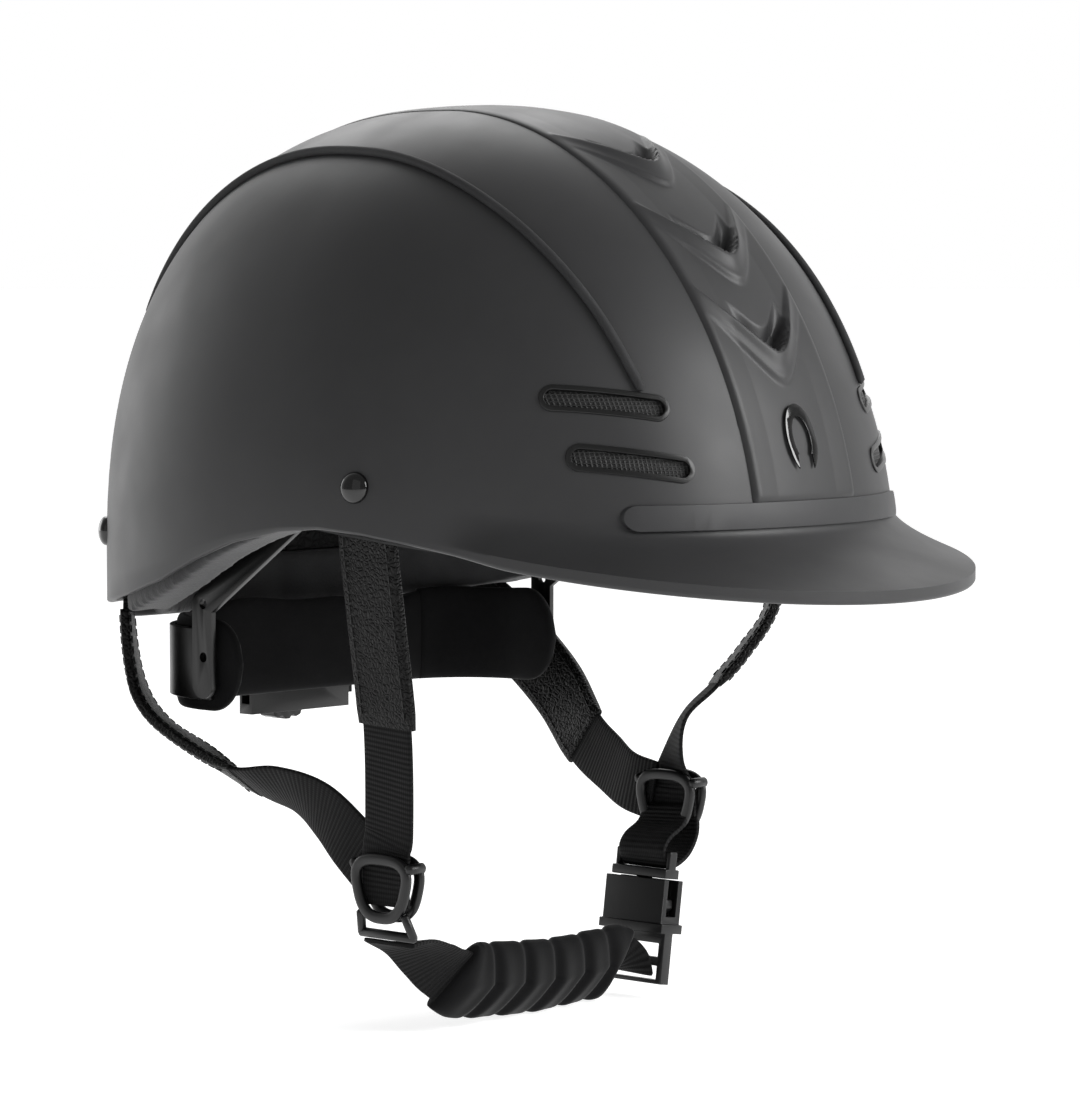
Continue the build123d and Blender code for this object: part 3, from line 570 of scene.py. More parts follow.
def path_frame(path: np.ndarray) -> tuple[np.ndarray, np.ndarray]:
    """Unit vectors across and through a strap at each sample of its path."""
    along = unit(np.gradient(path[:, :3], axis=0))
    across = unit(path[:, 3:6] - along * np.sum(path[:, 3:6] * along, 1, keepdims=True))
    return across, np.cross(along, across)


def sweep(name: str, path: np.ndarray, section: np.ndarray,
          shape: Callable[[np.ndarray, float, float], np.ndarray] | None = None) -> bpy.types.Object:
    """Sweep a closed section along a path, with UVs in metres.

    Args:
        name: the piece's name.
        path: rows of x, y, z and the width's direction.
        section: (across, through) pairs of the section.
        shape: changes the section from itself, the distance along and the whole length.

    Returns:
        A closed mesh piece.
    """
    across, through = path_frame(path)
    run = distances(path)
    rings = []
    for k in range(len(path)):
        cut = shape(section, run[k], run[-1]) if shape else section
        rings.append(path[k, :3] + cut[:, :1] * across[k] + cut[:, 1:2] * through[k])
    count = len(section)
    points = np.vstack(rings + [path[:1, :3], path[-1:, :3]])
    faces = grid_faces(len(path), count, True)
    first, last, base = len(points) - 2, len(points) - 1, (len(path) - 1) * count
    faces += [(first, (c + 1) % count, c) for c in range(count)]
    faces += [(last, base + c, base + (c + 1) % count) for c in range(count)]
    piece = new_piece(name, points, faces)
    layer = piece.data.uv_layers.new(name="metres")
    caps = [[[0, 0], [0, run[-1]]]]
    place = np.vstack([np.stack([section[:, 0], np.full(count, d)], 1) for d in run] + caps)
    index = np.array([loop.vertex_index for loop in piece.data.loops])
    layer.data.foreach_set("uv", (place[index] * MM).ravel())
    return face_outwards(piece, merge=False)


def closed_ring(name: str, centre: Sequence[float], corners: Sequence[Sequence[float]], offset: float,
                width: float, thick: float) -> bpy.types.Object:
    """Rounded ring in a YZ plane.

    Args:
        name: the ring's name.
        centre: the plane's origin.
        corners: (forward, up) pairs of the ring's middle line before rounding.
        offset: how far along X the ring stands from the centre.
        width: the moulding's width in the plane.
        thick: the moulding's thickness along X.

    Returns:
        A closed mesh piece.
    """
    line = np.asarray(corners, float)
    for _ in range(4):
        after = np.roll(line, -1, axis=0)
        line = np.stack([0.78 * line + 0.22 * after, 0.22 * line + 0.78 * after], 1).reshape(-1, 2)
    spots = np.stack([np.full(len(line), offset), -line[:, 0], line[:, 1]], 1) + np.asarray(centre, float)
    along = unit(np.roll(spots, -1, axis=0) - np.roll(spots, 1, axis=0))
    outward = np.cross(along, [1.0, 0, 0])
    section = rounded_section(width, thick, 2.6, 20)
    rings = [spot + section[:, :1] * side + section[:, 1:2] * np.array([1.0, 0, 0])
             for spot, side in zip(spots, outward)]
    count = len(section)
    faces = grid_faces(len(rings) + 1, count, True)
    total = len(rings) * count
    wrapped = [tuple(k % total for k in face) for face in faces]
    return face_outwards(new_piece(name, np.vstack(rings), wrapped))


def add_tube(faces: list[tuple[int, ...]], base: int, rings: int, count: int) -> None:
    """Add the sides and both ends of a tube whose rings follow each other from vertex base on."""
    faces += [tuple(base + k for k in quad) for quad in grid_faces(rings, count, True)]
    top = base + count * (rings - 1)
    faces += [tuple(range(base, base + count)), tuple(range(top, top + count))]


def rods(name: str, spans: Sequence[tuple[Sequence[float], Sequence[float], float]]) -> bpy.types.Object:
    """Round rods given by their two ends and radius, as one piece."""
    points, faces = [], []
    for start, end, radius in spans:
        first, last = np.array(start, float), np.array(end, float)
        along = unit(last - first)
        side = unit(np.cross(along, ANY_DIRECTION))
        other = np.cross(along, side)
        base = len(points)
        for spot, share in ((first - along * radius * 0.5, 0.55), (first, 1.0), (last, 1.0),
                            (last + along * radius * 0.5, 0.55)):
            for turn in turns(ROD_SIDES):
                points.append(spot + share * radius * (math.cos(turn) * side + math.sin(turn) * other))
        add_tube(faces, base, 4, ROD_SIDES)
    return face_outwards(new_piece(name, np.array(points), faces))


def strap_path(points: Path, step: float = 1.5) -> np.ndarray:
    """Smooth path of a strap from points and width directions."""
    return smooth_path([(*place, *width) for place, width in points], step)


def webbing(name: str, path: np.ndarray, thick: float = WEB_THICK) -> bpy.types.Object:
    """Plain webbing along a path."""
    return sweep(name, path, rounded_section(WEB_WIDTH, thick, 8.0, 40))


def stitch_group() -> bpy.types.NodeTree:
    """Geometry Nodes group that lays stitches along the edges of a mesh."""
    tree = bpy.data.node_groups.new("stitches", "GeometryNodeTree")
    for name, kind in (("Line", "NodeSocketGeometry"), ("Pitch", "NodeSocketFloat"),
                       ("Thickness", "NodeSocketFloat"), ("Thread", "NodeSocketMaterial")):
        tree.interface.new_socket(name, in_out="INPUT", socket_type=kind)
    tree.interface.new_socket("Stitches", in_out="OUTPUT", socket_type="NodeSocketGeometry")
    given = node(tree, "NodeGroupInput").outputs
    curve = node(tree, "GeometryNodeMeshToCurve", {0: given["Line"]})
    even = node(tree, "GeometryNodeResampleCurve", {"Curve": curve.outputs[0], "Length": given["Pitch"]},
                mode="LENGTH")
    tangent = node(tree, "GeometryNodeInputTangent")
    turn = node(tree, "FunctionNodeAlignRotationToVector", {"Vector": tangent.outputs[0]}, axis="Z")
    depth = maths(tree, "MULTIPLY", given["Pitch"], 0.72)
    stitch = node(tree, "GeometryNodeMeshCylinder",
                  {"Vertices": 6, "Radius": given["Thickness"], "Depth": depth})
    laid = node(tree, "GeometryNodeInstanceOnPoints",
                {"Points": even.outputs[0], "Instance": stitch.outputs[0], "Rotation": turn.outputs[0]})
    real = node(tree, "GeometryNodeRealizeInstances", {0: laid.outputs[0]})
    painted = node(tree, "GeometryNodeSetMaterial",
                   {"Geometry": real.outputs[0], "Material": given["Thread"]})
    node(tree, "NodeGroupOutput", {0: painted.outputs[0]})
    return tree


def stitches(name: str, lines: Sequence[np.ndarray], pitch: float = 3.4,
             thick: float = 0.24) -> bpy.types.Object:
    """Lay sewn stitches along lines.

    Args:
        name: the piece's name.
        lines: rows of points in millimetres for each seam.
        pitch: distance between stitches.
        thick: the thread's radius.

    Returns:
        The stitches as one mesh piece.
    """
    points = np.vstack(lines)
    mesh = bpy.data.meshes.new(name)
    edges, start = [], 0
    for line in lines:
        edges += [(start + k, start + k + 1) for k in range(len(line) - 1)]
        start += len(line)
    mesh.from_pydata((points * MM).tolist(), edges, [])
    piece = linked(name, mesh)
    tree = bpy.data.node_groups.get("stitches") or stitch_group()
    worker = piece.modifiers.new("stitches", "NODES")
    worker.node_group = tree
    chosen = {"Pitch": pitch * MM, "Thickness": thick * MM, "Thread": WARDROBE.material(THREAD)}
    for item in tree.interface.items_tree:
        if item.item_type == "SOCKET" and item.in_out == "INPUT" and item.name in chosen:
            worker[item.identifier] = chosen[item.name]
    return settle(piece)


def edge_line(path: np.ndarray, across: float, through: float) -> np.ndarray:
    """A line along a strap at an offset across and through it."""
    side, face = path_frame(path)
    return path[:, :3] + across * side + through * face


# ------------------------------------------------------------------ sub-assemblies

# The centre strip: distance across and rise of half its profile, its share of that rise by the
# distance from its front end, and the length over which it rises out of the trim bar
STRIP_PROFILE = ((0, 0.7), (14, 0.8), (19, 1.3), (21.6, 1.6), (22.8, 1.5), (23.6, 1.1), (24.2, 0.3),
                 (24.6, -0.5), (25.0, -1.5))
STRIP_FADE = ((0, 1), (90, 0.75), (190, 0.3), (420, 0.3))
STRIP_LEAD = 3.5
# The piping's line seen from above: distance from the middle, and y
PIPING_PLAN = ((52, -110.5), (55.5, -93), (58.5, -71), (60, -47), (59.5, -22), (57.5, 3), (55.5, 27),
               (54.5, 51), (54.5, 72), (54.5, 91), (54, 106))
PIPING_WIDTH = 3.0


@dataclass(frozen=True)
class Scoop:
    """Chevron scoop of the centre strip: a flange that rises to a lip, with a hollow behind it."""

    slant: float = 1.45
    nose_bend: float = 30
    nose_shift: float = 5.5
    half_width: float = 23.0
    flange_length: float = 10.5
    flange_ramp: float = 2.2
    flange_rise: float = 1.3
    swell: float = 2.0
    swell_length: float = 4.5
    lip_rise: float = 3.3
    lip_length: float = 0.9
    hollow_ramp: float = 0.7
    hollow_length: float = 9.5
    hollow_run_out: float = 6.5
    hollow_depth: float = 4.4
    hollow_half_width: float = 10.5

    def lift(self, x: np.ndarray, ahead: np.ndarray) -> np.ndarray:
        """Height that the scoop adds at distances across the strip and past its apex."""
        behind = ahead - self.slant * (np.sqrt(x**2 + self.nose_bend) - self.nose_shift)
        fade = np.clip(1 - (np.abs(x) / self.half_width)**1.8, 0, 1)
        ramp = np.clip((behind + self.flange_length) / self.flange_ramp, 0, 1)
        flange = ramp * (self.flange_rise + self.swell * np.exp(-(behind / self.swell_length)**2))
        lip = np.where(behind < 0, flange, self.lip_rise * np.exp(-(behind / self.lip_length)**2))
        hole = np.clip(behind / self.hollow_ramp, 0, 1)
        hole = hole * np.clip((self.hollow_length - behind) / self.hollow_run_out, 0, 1)
        narrow = np.clip(1.3 - (np.abs(x) / self.hollow_half_width)**2, 0, 1)
        return fade * lip - self.hollow_depth * hole * narrow


@dataclass
class Shell:
    """Moulded shell with its centre strip, scoops, vents, trim bar, badge, piping and rivets."""

    columns: int = 360
    rows: int = 84
    body: str = "helmet"
    strip_room: tuple[float, float, float] = (22, 20, 120)
    lip: tuple[tuple[float, float], ...] = ((0.12, 0.55), (0.35, 0.9), (0.65, 0.9), (0.88, 0.55))
    slot_out: float = 0.004
    slot_in: float = 0.009
    slot_fit: float = 0.992
    strip_ends: tuple[float, float] = (math.radians(8.4), math.radians(174))
    strip_rows: int = 520
    strip_sink: float = 2.95
    strip_depth: float = 2.9
    scoop_fronts: tuple[float, ...] = (-118.0, -98.5, -67.0)
    scoop_floor: float = 3.9
    badge_lift: float = 1.5
    rivet_radius: float = 4.9
    rivet_rise: float = 2.7
    rivet_sides: int = 48

    def build_dome(self) -> bpy.types.Object:
        """Mesh the shell and cut the vent slots through it."""
        angle = turns(self.columns)
        outer = surface_rows(angle, 0.0, 0.0, self.rows)
        side, low, back = self.strip_room
        under_strip = (np.abs(outer[..., 0]) < side) & (outer[..., 2] > low) & (outer[..., 1] < back)
        outer[under_strip] = onto_dome(outer[under_strip], -self.strip_sink)
        inner = surface_rows(angle, WALL, WALL + 0.1, self.rows // 2)
        lip = [outer[0] + (inner[0] - outer[0]) * share + np.array([0, 0, -sink])
               for share, sink in self.lip]
        rows = np.concatenate([outer[::-1], np.array(lip), inner])
        count = self.columns
        points = np.vstack([rows.reshape(-1, 3), [[0, 0, CROWN - self.strip_sink]], [[0, 0, CROWN - WALL]]])
        faces = grid_faces(len(rows), count, True)
        top, bottom, base = len(points) - 2, len(points) - 1, (len(rows) - 1) * count
        faces += [(top, c, (c + 1) % count) for c in range(count)]
        faces += [(bottom, base + (c + 1) % count, base + c) for c in range(count)]
        shell = face_outwards(new_piece("shell", points, faces))
        for side in Side:
            for row in ("upper", "lower"):
                self.cut_slot(shell, f"vent_frame_{row}_{side.word}")
        settle(shell)
        shell.data.set_sharp_from_angle(angle=SHELL_SHARP_ANGLE)
        return shell

    def cut_slot(self, shell: bpy.types.Object, frame_node: str) -> None:
        """Cut the room for one vent frame out of the shell."""
        spots = np.array([v.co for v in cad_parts[frame_node].data.vertices])
        middle = spots.mean(0)
        outward = dome_normal(middle[None] / MM)[0]
        work = bmesh.new()
        for spot in np.vstack([spots + outward * self.slot_out, spots - outward * self.slot_in]):
            work.verts.new(middle + (spot - middle) * self.slot_fit)
        hull = bmesh.ops.convex_hull(work, input=work.verts)
        bmesh.ops.delete(work, geom=list({*hull["geom_interior"], *hull["geom_unused"]}), context="VERTS")
        mesh = bpy.data.meshes.new("slot_cutter")
        work.to_mesh(mesh)
        work.free()
        cutter = linked("slot_cutter", mesh)
        cut = shell.modifiers.new("slot", "BOOLEAN")
        cut.operation = "DIFFERENCE"
        cut.solver = "EXACT"
        cut.object = cutter
        settle(shell)
        bpy.data.objects.remove(cutter)

    def build_strip(self) -> bpy.types.Object:
        """Raised centre strip with three chevron scoops, from the trim bar over the crown to the back."""
        turn = np.linspace(*self.strip_ends, self.strip_rows)
        y = -np.cos(turn) * np.where(np.cos(turn) > 0, FRONT_REACH, REAR_REACH)
        centre = onto_dome(np.stack([np.zeros_like(y) + 1e-3, y, np.sin(turn) * CROWN], -1))
        run = distances(centre)
        half, (flat, *edge) = np.array(STRIP_PROFILE), [place for place, _ in STRIP_PROFILE[3:]]
        across = np.concatenate([-np.array(edge[::-1]), np.linspace(-flat, flat, 87), edge])
        profile = np.interp(np.abs(across), half[:, 0], half[:, 1])
        grid = centre[:, None, :] + across[None, :, None] * np.array([1.0, 0, 0])
        grid = onto_dome(grid)
        fade = np.interp(run, *np.transpose(STRIP_FADE))[:, None]
        fade = fade * np.clip(run / STRIP_LEAD, 0, 1)[:, None]
        profile = np.where(profile > 0, profile * fade, profile)
        lift = profile + self.scoops(across[None, :], run[:, None], centre, run)
        top = grid + dome_normal(grid) * lift[..., None]
        low = grid - dome_normal(grid) * self.strip_depth
        rows, count = top.shape[:2]
        ring = np.concatenate([top, low[:, ::-1]], 1).reshape(-1, 3)
        faces = grid_faces(rows, 2 * count, True)
        faces += [tuple(range(2 * count))[::-1], tuple((rows - 1) * 2 * count + k for k in range(2 * count))]
        return face_outwards(new_piece("centre_strip", ring, faces))

    def scoops(self, x: np.ndarray, along: np.ndarray, centre: np.ndarray, run: np.ndarray) -> np.ndarray:
        """Height that the chevron scoops add to the strip.

        Args:
            x: distance across the strip.
            along: distance along the strip from its front end.
            centre: points of the strip's middle line.
            run: distance along at each of those points.

        Returns:
            Lift at each place.
        """
        lift = np.zeros(np.broadcast(x, along).shape)
        for y in self.scoop_fronts:
            apex = np.interp(y, centre[:, 1], run)
            lift += Scoop().lift(x, along - apex)
        return np.maximum(lift, -self.scoop_floor)

    def build_piping(self, side: Side) -> bpy.types.Object:
        """Piping cord over the crown on one side."""
        start = np.array([(side.value * x, y, 0.0) for x, y in PIPING_PLAN])
        angle = np.arctan2(start[:, 0], -start[:, 1])
        power = dome_power(angle)
        share = np.hypot(start[:, 0], start[:, 1]) / plan_radius(angle)
        start[:, 2] = CROWN * (1 - share**power)**(1 / power)
        line = onto_dome(smooth_path(start, 1.2), 0.8)
        path = np.hstack([line, dome_normal(line)])

        def rounded_end(section: np.ndarray, distance: float, length: float) -> np.ndarray:
            """Round off the cord's ends."""
            near = min(distance, length - distance)
            return section * math.sqrt(max(1 - (1 - min(near / 1.4, 1))**2, 0.02))

        section = rounded_section(PIPING_WIDTH, PIPING_WIDTH, 2.0, 16)
        return sweep(f"piping_{side.word}_cord", path, section, rounded_end)

    def rivet(self, name: str, place: Sequence[float]) -> bpy.types.Object:
        """Domed rivet heads on both sides."""
        x, y, z = place
        points, faces = [], []
        radius, count = self.rivet_radius, self.rivet_sides
        profile = [(radius, -1.6), (radius, 0.1)]
        profile += [(radius * math.cos(math.radians(t)), 0.1 + self.rivet_rise * math.sin(math.radians(t)))
                    for t in (12, 24, 36, 47, 57, 66, 74, 81, 86)]
        for side in Side:
            spot = onto_dome(np.array([[side.value * x, y, z]]))[0]
            outward = dome_normal(spot[None])[0]
            first = unit(np.cross(outward, [0, 0, 1.0]))
            second = np.cross(outward, first)
            base = len(points)
            for reach, rise in profile:
                for turn in turns(count):
                    ring = math.cos(turn) * first + math.sin(turn) * second
                    points.append(spot + outward * rise + reach * ring)
            add_tube(faces, base, len(profile), count)
        return face_outwards(new_piece(name, np.array(points), faces))

    def build(self) -> None:
        """Build every piece of the shell."""
        fit(self.build_dome(), SHELL_ABS, self.body, ["outer_shell"])
        fit(self.build_strip(), SHELL_ABS, self.body)
        fit(softened_copy("peak_trim", "trim_bar", 1.1), TRIM_RUBBER, self.body)
        badge = softened_copy("badge", "horseshoe_badge", 0.12)
        spots = np.array([v.co for v in badge.data.vertices]) / MM
        badge.data.vertices.foreach_set("co", ((spots + self.badge_lift * dome_normal(spots)) * MM).ravel())
        fit(badge, GLOSS_ABS, self.body)
        for end, place in (("side", (112.0, -43.9, 28.5)), ("rear", (84.0, 103.0, 8.0))):
            heads = self.rivet(f"{end}_rivet_heads", place)
            fit(heads, GLOSS_ABS, self.body, [f"{end}_rivets"])
        for side in Side:
            fit(self.build_piping(side), PIPING_CORD, self.body, [f"piping_{side.word}"])
            for row in ("upper", "lower"):
                rim = softened_copy(f"vent_frame_{row}_{side.word}", f"vent_rim_{row}_{side.word}", 0.45)
                fit(rim, SATIN_NYLON, self.body)
                WARDROBE.dress(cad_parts[f"vent_mesh_{row}_{side.word}"], MESH_POLYESTER)


@dataclass
class Padding:
    """Foam liner and the pads inside the shell."""

    body: str = "helmet"

    @staticmethod
    def plump(part: str, name: str, voxel: float) -> bpy.types.Object:
        """Soft copy of a pad, with its edges rounded over.

        Args:
            part: the part that the pad stands for.
            name: the pad's name.
            voxel: remeshing size in millimetres.

        Returns:
            The pad.
        """
        piece = copy_of(part, name)
        remesh = piece.modifiers.new("remesh", "REMESH")
        remesh.mode = "VOXEL"
        remesh.voxel_size = voxel * MM
        soften = piece.modifiers.new("soften", "SMOOTH")
        soften.factor = 0.5
        soften.iterations = 6
        settle(piece)
        share = PAD_FACES / len(piece.data.polygons)
        if share < 1:
            thin = piece.modifiers.new("thin", "DECIMATE")
            thin.ratio = share
            settle(piece)
        shade_smooth(piece)
        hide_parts(part)
        return piece

    def build(self) -> None:
        """Build the pads and dress the liner."""
        WARDROBE.dress(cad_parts["foam_liner"], FOAM)
        for part, name, voxel in (("rim_pad", "rim_felt", 1.5), ("crown_pad", "crown_felt", 2.0),
                                  ("forehead_pad", "forehead_felt", 1.5)):
            pad = fit(self.plump(part, name, voxel), FELT, self.body)


FORWARD = (0, -1, 0)
FRONT_PATHS: dict[Side, Path] = {
    Side.RIGHT: [((-97.5, -41, 24), FORWARD), ((-97.5, -39, 14), FORWARD), ((-94, -39, -12), FORWARD),
                 ((-89, -39, -47), FORWARD), ((-84.3, -35, -78), FORWARD), ((-83.9, -33.5, -85), FORWARD),
                 ((-83.9, -33, -96), FORWARD), ((-83.6, -33, -103), FORWARD)],
    Side.LEFT: [((97.5, -41, 24), FORWARD), ((97.2, -40, 12), (-0.2, -0.98, 0)),
                ((95, -39, -18), (-0.7, -0.71, 0)),
                ((87, -33.5, -34), (-0.73, -0.68, 0)), ((78, -27.5, -46), (-0.73, -0.68, 0)),
                ((70, -21.5, -56), (-0.73, -0.68, 0)), ((66.9, -19, -69.5), (-0.5, -0.87, 0)),
                ((66.9, -19, -81), FORWARD),
                ((66.9, -19, -89), FORWARD)]}
REAR_PATHS: dict[Side, Path] = {
    Side.RIGHT: [((-76, 92.5, 4), (0.7, 0.71, 0)), ((-78.2, 91.8, -18), (0.72, 0.69, 0)),
                 ((-79.5, 86.5, -39), (0.75, 0.6, -0.2)), ((-80.5, 75.5, -51.5), (0.85, 0.4, -0.3)),
                 ((-80.5, 56, -60.5), (0.93, 0.13, -0.32)), ((-80.5, 33, -69.5), (0.85, 0.2, -0.5)),
                 ((-80.5, 14, -71), (0.6, 0.1, -0.8)), ((-81, -2, -76), (0.2, 0.3, -0.93)),
                 ((-82.1, -15, -84), (0, 0.55, -0.83)), ((-82.1, -25, -92), (0, 0.65, -0.76))],
    Side.LEFT: [((76, 92.5, 4), (0.7, -0.71, 0)), ((77.8, 88.5, -18), (0.68, -0.73, 0)),
                ((82.5, 80, -27), (0.5, -0.7, 0.5)), ((85.5, 64, -40.5), (0.3, -0.6, 0.74)),
                ((83, 47, -53), (0.2, -0.55, 0.8)), ((76, 29, -67), (0.1, -0.5, 0.86)),
                ((70, 12, -74.5), (0.05, -0.35, 0.93)), ((65.8, 0, -79), (0, -0.25, 0.97)),
                ((65.1, -12, -81.5), (0, -0.2, 0.98))]}
# Which points of the paths the rear covers and the bend run from and to
REAR_COVER_SPAN, BEND_SPAN = (1, 5), (4, -2)
FRONT_COVER_END = {Side.RIGHT: 3, Side.LEFT: 4}
SLIDER_CENTRES = {Side.RIGHT: (-83.0, -33.0, -96.0), Side.LEFT: (66.0, -19.0, -83.0)}
# The webbing that loops from the left slider round the plug's bar: its outer and its inner run
BUCKLE_LOOPS = (((66.9, -19, -80), (68.3, -19, -88), (68.0, -19.2, -95), (63.5, -19.6, -101),
                 (57.0, -20, -104.2), (52.6, -20, -104.4)),
                ((52.2, -20, -104.0), (50.4, -20, -99), (53.5, -19.8, -95), (60.5, -19.4, -91.5),
                 (64.4, -19, -86)))
LEAN = (0, -0.42, 0.91)
CHIN_PAD_ENDS = ((-51, -29.9, -128.8), (35, -21.5, -134.8))
CHIN_PATH: Path = [((-82.5, -33, -114.7), FORWARD), ((-72, -32, -117), (0, -0.95, 0.3)),
                   ((-63, -31, -122), (0, -0.8, 0.6)), ((-55, -30.3, -127), (0, -0.6, 0.8)),
                   ((-45, -29.3, -131), LEAN), ((-26, -27.5, -133), LEAN), ((-5, -25.4, -134.5), LEAN),
                   ((16, -23.3, -134.5), LEAN), ((32, -21.7, -134.5), LEAN),
                   ((39, -20.6, -136), (0, -0.8, 0.6)), ((43.6, -20, -139), FORWARD)]


def nearest(path: np.ndarray, place: Sequence[float]) -> int:
    """Index of the path's sample nearest to a place."""
    return int(np.argmin(np.linalg.norm(path[:, :3] - np.array(place), axis=1)))


@dataclass
class Harness:
    """Front and rear straps, their leather covers, the sliders and the buckle."""

    cover_thick: float = 3.6
    front_cover_width: float = 23.5
    rear_cover_width: float = 22.5
    seam_inset: float = 2.6
    loop_thick: float = 1.8

    def cover(self, name: str, path: np.ndarray, width: float) -> tuple[bpy.types.Object, bpy.types.Object]:
        """Leather sleeve over a strap and its stitches."""

        def flat_end(section: np.ndarray, distance: float, length: float) -> np.ndarray:
            """Press the sleeve flat near its sewn lower end."""
            left = length - distance
            return section * np.array([1.0, 0.62 + 0.38 * min(left / 5.0, 1.0)])

        sleeve = sweep(name, path, rounded_section(width, self.cover_thick, 6.0, 40), flat_end)
        inset = width / 2 - self.seam_inset
        face = self.cover_thick / 2 - 0.02
        lines = [edge_line(path[2:-3], side * inset, out * face) for side in (-1, 1) for out in (-1, 1)]
        for out in (-1, 1):
            lines.append(np.vstack([edge_line(path[-5:-2], share * inset, out * (face - 0.45))[1]
                                    for share in np.linspace(-1, 1, 9)]))
        return sleeve, stitches(f"{name}_stitches", lines)

    def build_front(self, side: Side) -> None:
        """Front strap and cover of one side."""
        path = strap_path(FRONT_PATHS[side])
        web = webbing(f"front_strap_{side.word}", path)
        fit(web, WEBBING, "harness", [f"front_webbing_{side.word}"])
        last = nearest(path, FRONT_PATHS[side][FRONT_COVER_END[side]][0])
        first = nearest(path, FRONT_PATHS[side][1][0])
        sleeve, seams = self.cover(f"front_sleeve_{side.word}", path[first:last + 1], self.front_cover_width)
        fit(sleeve, LEATHER, "harness", [f"front_cover_{side.word}"])
        fit(seams, THREAD, "harness")

    def build_rear(self, side: Side) -> None:
        """Rear strap and cover of one side, left in place and hung on no body."""
        path = strap_path(REAR_PATHS[side])
        web = webbing(f"rear_strap_{side.word}", path)
        first, last = (nearest(path, REAR_PATHS[side][k][0]) for k in REAR_COVER_SPAN)
        sleeve, seams = self.cover(f"rear_sleeve_{side.word}", path[first:last + 1], self.rear_cover_width)
        for piece, finish, slot, part in ((web, WEBBING, "webbing", f"rear_webbing_{side.word}"),
                                          (sleeve, LEATHER, "leather", f"rear_cover_{side.word}"),
                                          (seams, THREAD, "leather", None)):
            WARDROBE.dress(piece, finish)
            if part:
                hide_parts(part)
            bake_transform(piece)
            LOG.info("%s bends between helmet and harness", piece.name)

    @staticmethod
    def build_slider(side: Side) -> None:
        """Two rounded rings that pinch the straps, joined by posts at their corners."""
        centre = SLIDER_CENTRES[side]
        corners = [(12.6, 7.6), (-12.6, 7.6), (-8.0, -10.6), (8.0, -10.6)]
        for plate, out in (("base", -1), ("cover", 1)):
            offset = side.value * out * 2.9
            ring = closed_ring(f"slider_{plate}_{side.word}_ring", centre, corners, offset, 3.7, 2.5)
            fit(ring, ACETAL, "harness", [f"slider_{plate}_{side.word}"])
        x, y, z = centre
        spans = [((x - 3, y + end * 12.0, z + 5.5), (x + 3, y + end * 12.0, z + 5.5), 1.7) for end in (-1, 1)]
        if side is Side.RIGHT:
            spans += [((x - 2.2, y + end * 9.6, z - 9.5), (x, y + end * 11.2, z - 16.2), 1.4)
                      for end in (-1, 1)]
            spans.append(((x, y - 11.4, z - 16.2), (x, y + 11.4, z - 16.2), 1.5))
        fit(rods(f"slider_posts_{side.word}", spans), ACETAL, "harness")

    def build(self) -> None:
        """Build the harness."""
        for side in Side:
            self.build_front(side)
            self.build_rear(side)
            self.build_slider(side)
        for index, points in enumerate(BUCKLE_LOOPS):
            path = strap_path([(place, FORWARD) for place in points])
            loop = webbing(f"buckle_loop_{index}", path, self.loop_thick)
            fit(loop, WEBBING, "harness", ["buckle_webbing"])
        fit(softened_copy("buckle_plug", "buckle_plug_moulding", 0.9), ACETAL, "harness")
        for arm in ("front", "rear"):
            part = softened_copy(f"buckle_arm_{arm}", f"buckle_arm_{arm}_moulding", 0.4)
            fit(part, ACETAL, f"buckle_arm_{arm}")


@dataclass
class ChinStrap:
    """Chin webbing, quilted chin pad and buckle socket."""

    body: str = "chin_strap"
    channels: tuple[float, ...] = (16.0, 32.0, 48.0, 64.0, 78.0)
    channel_width: float = 1.9
    channel_depth: float = 0.42
    channel_lean: float = 0.55
    taper: float = 7.0
    pad_width: float = 27.0
    pad_thick: float = 9.0

    def quilt(self, section: np.ndarray, distance: float, length: float) -> np.ndarray:
        """Pad section with slanting sewn channels and tapered ends."""
        end = min(distance, length - distance)
        swell = 0.45 + 0.55 * math.sqrt(1 - (1 - min(end / self.taper, 1.0))**2)
        slant = distance + self.channel_lean * np.abs(section[:, 0]) - 3.5
        dent = sum(np.exp(-((slant - place) / self.channel_width)**2) for place in self.channels)
        puff = 1 + 0.10 * np.sin(slant / 16 * 2 * math.pi + 0.6)
        thick = section[:, 1] * swell * puff * (1 - self.channel_depth * np.clip(dent, 0, 1))
        wide = section[:, 0] * (0.93 + 0.07 * min(end / 5.0, 1.0)) * (1 - 0.035 * np.clip(dent, 0, 1))
        return np.stack([wide, thick], 1)

    def build(self) -> None:
        """Build the chin strap."""
        path = strap_path(CHIN_PATH, 0.8)
        web = webbing("chin_strap_web", path)
        fit(web, WEBBING, self.body, ["chin_webbing"])
        first, last = (nearest(path, end) for end in CHIN_PAD_ENDS)
        section = rounded_section(self.pad_width, self.pad_thick, 2.6, 72)
        pad = sweep("quilted_chin_pad", path[first:last + 1], section, self.quilt)
        fit(pad, SUEDE, self.body, ["chin_pad"])
        fit(softened_copy("buckle_socket", "buckle_socket_moulding", 1.3), ACETAL, self.body)


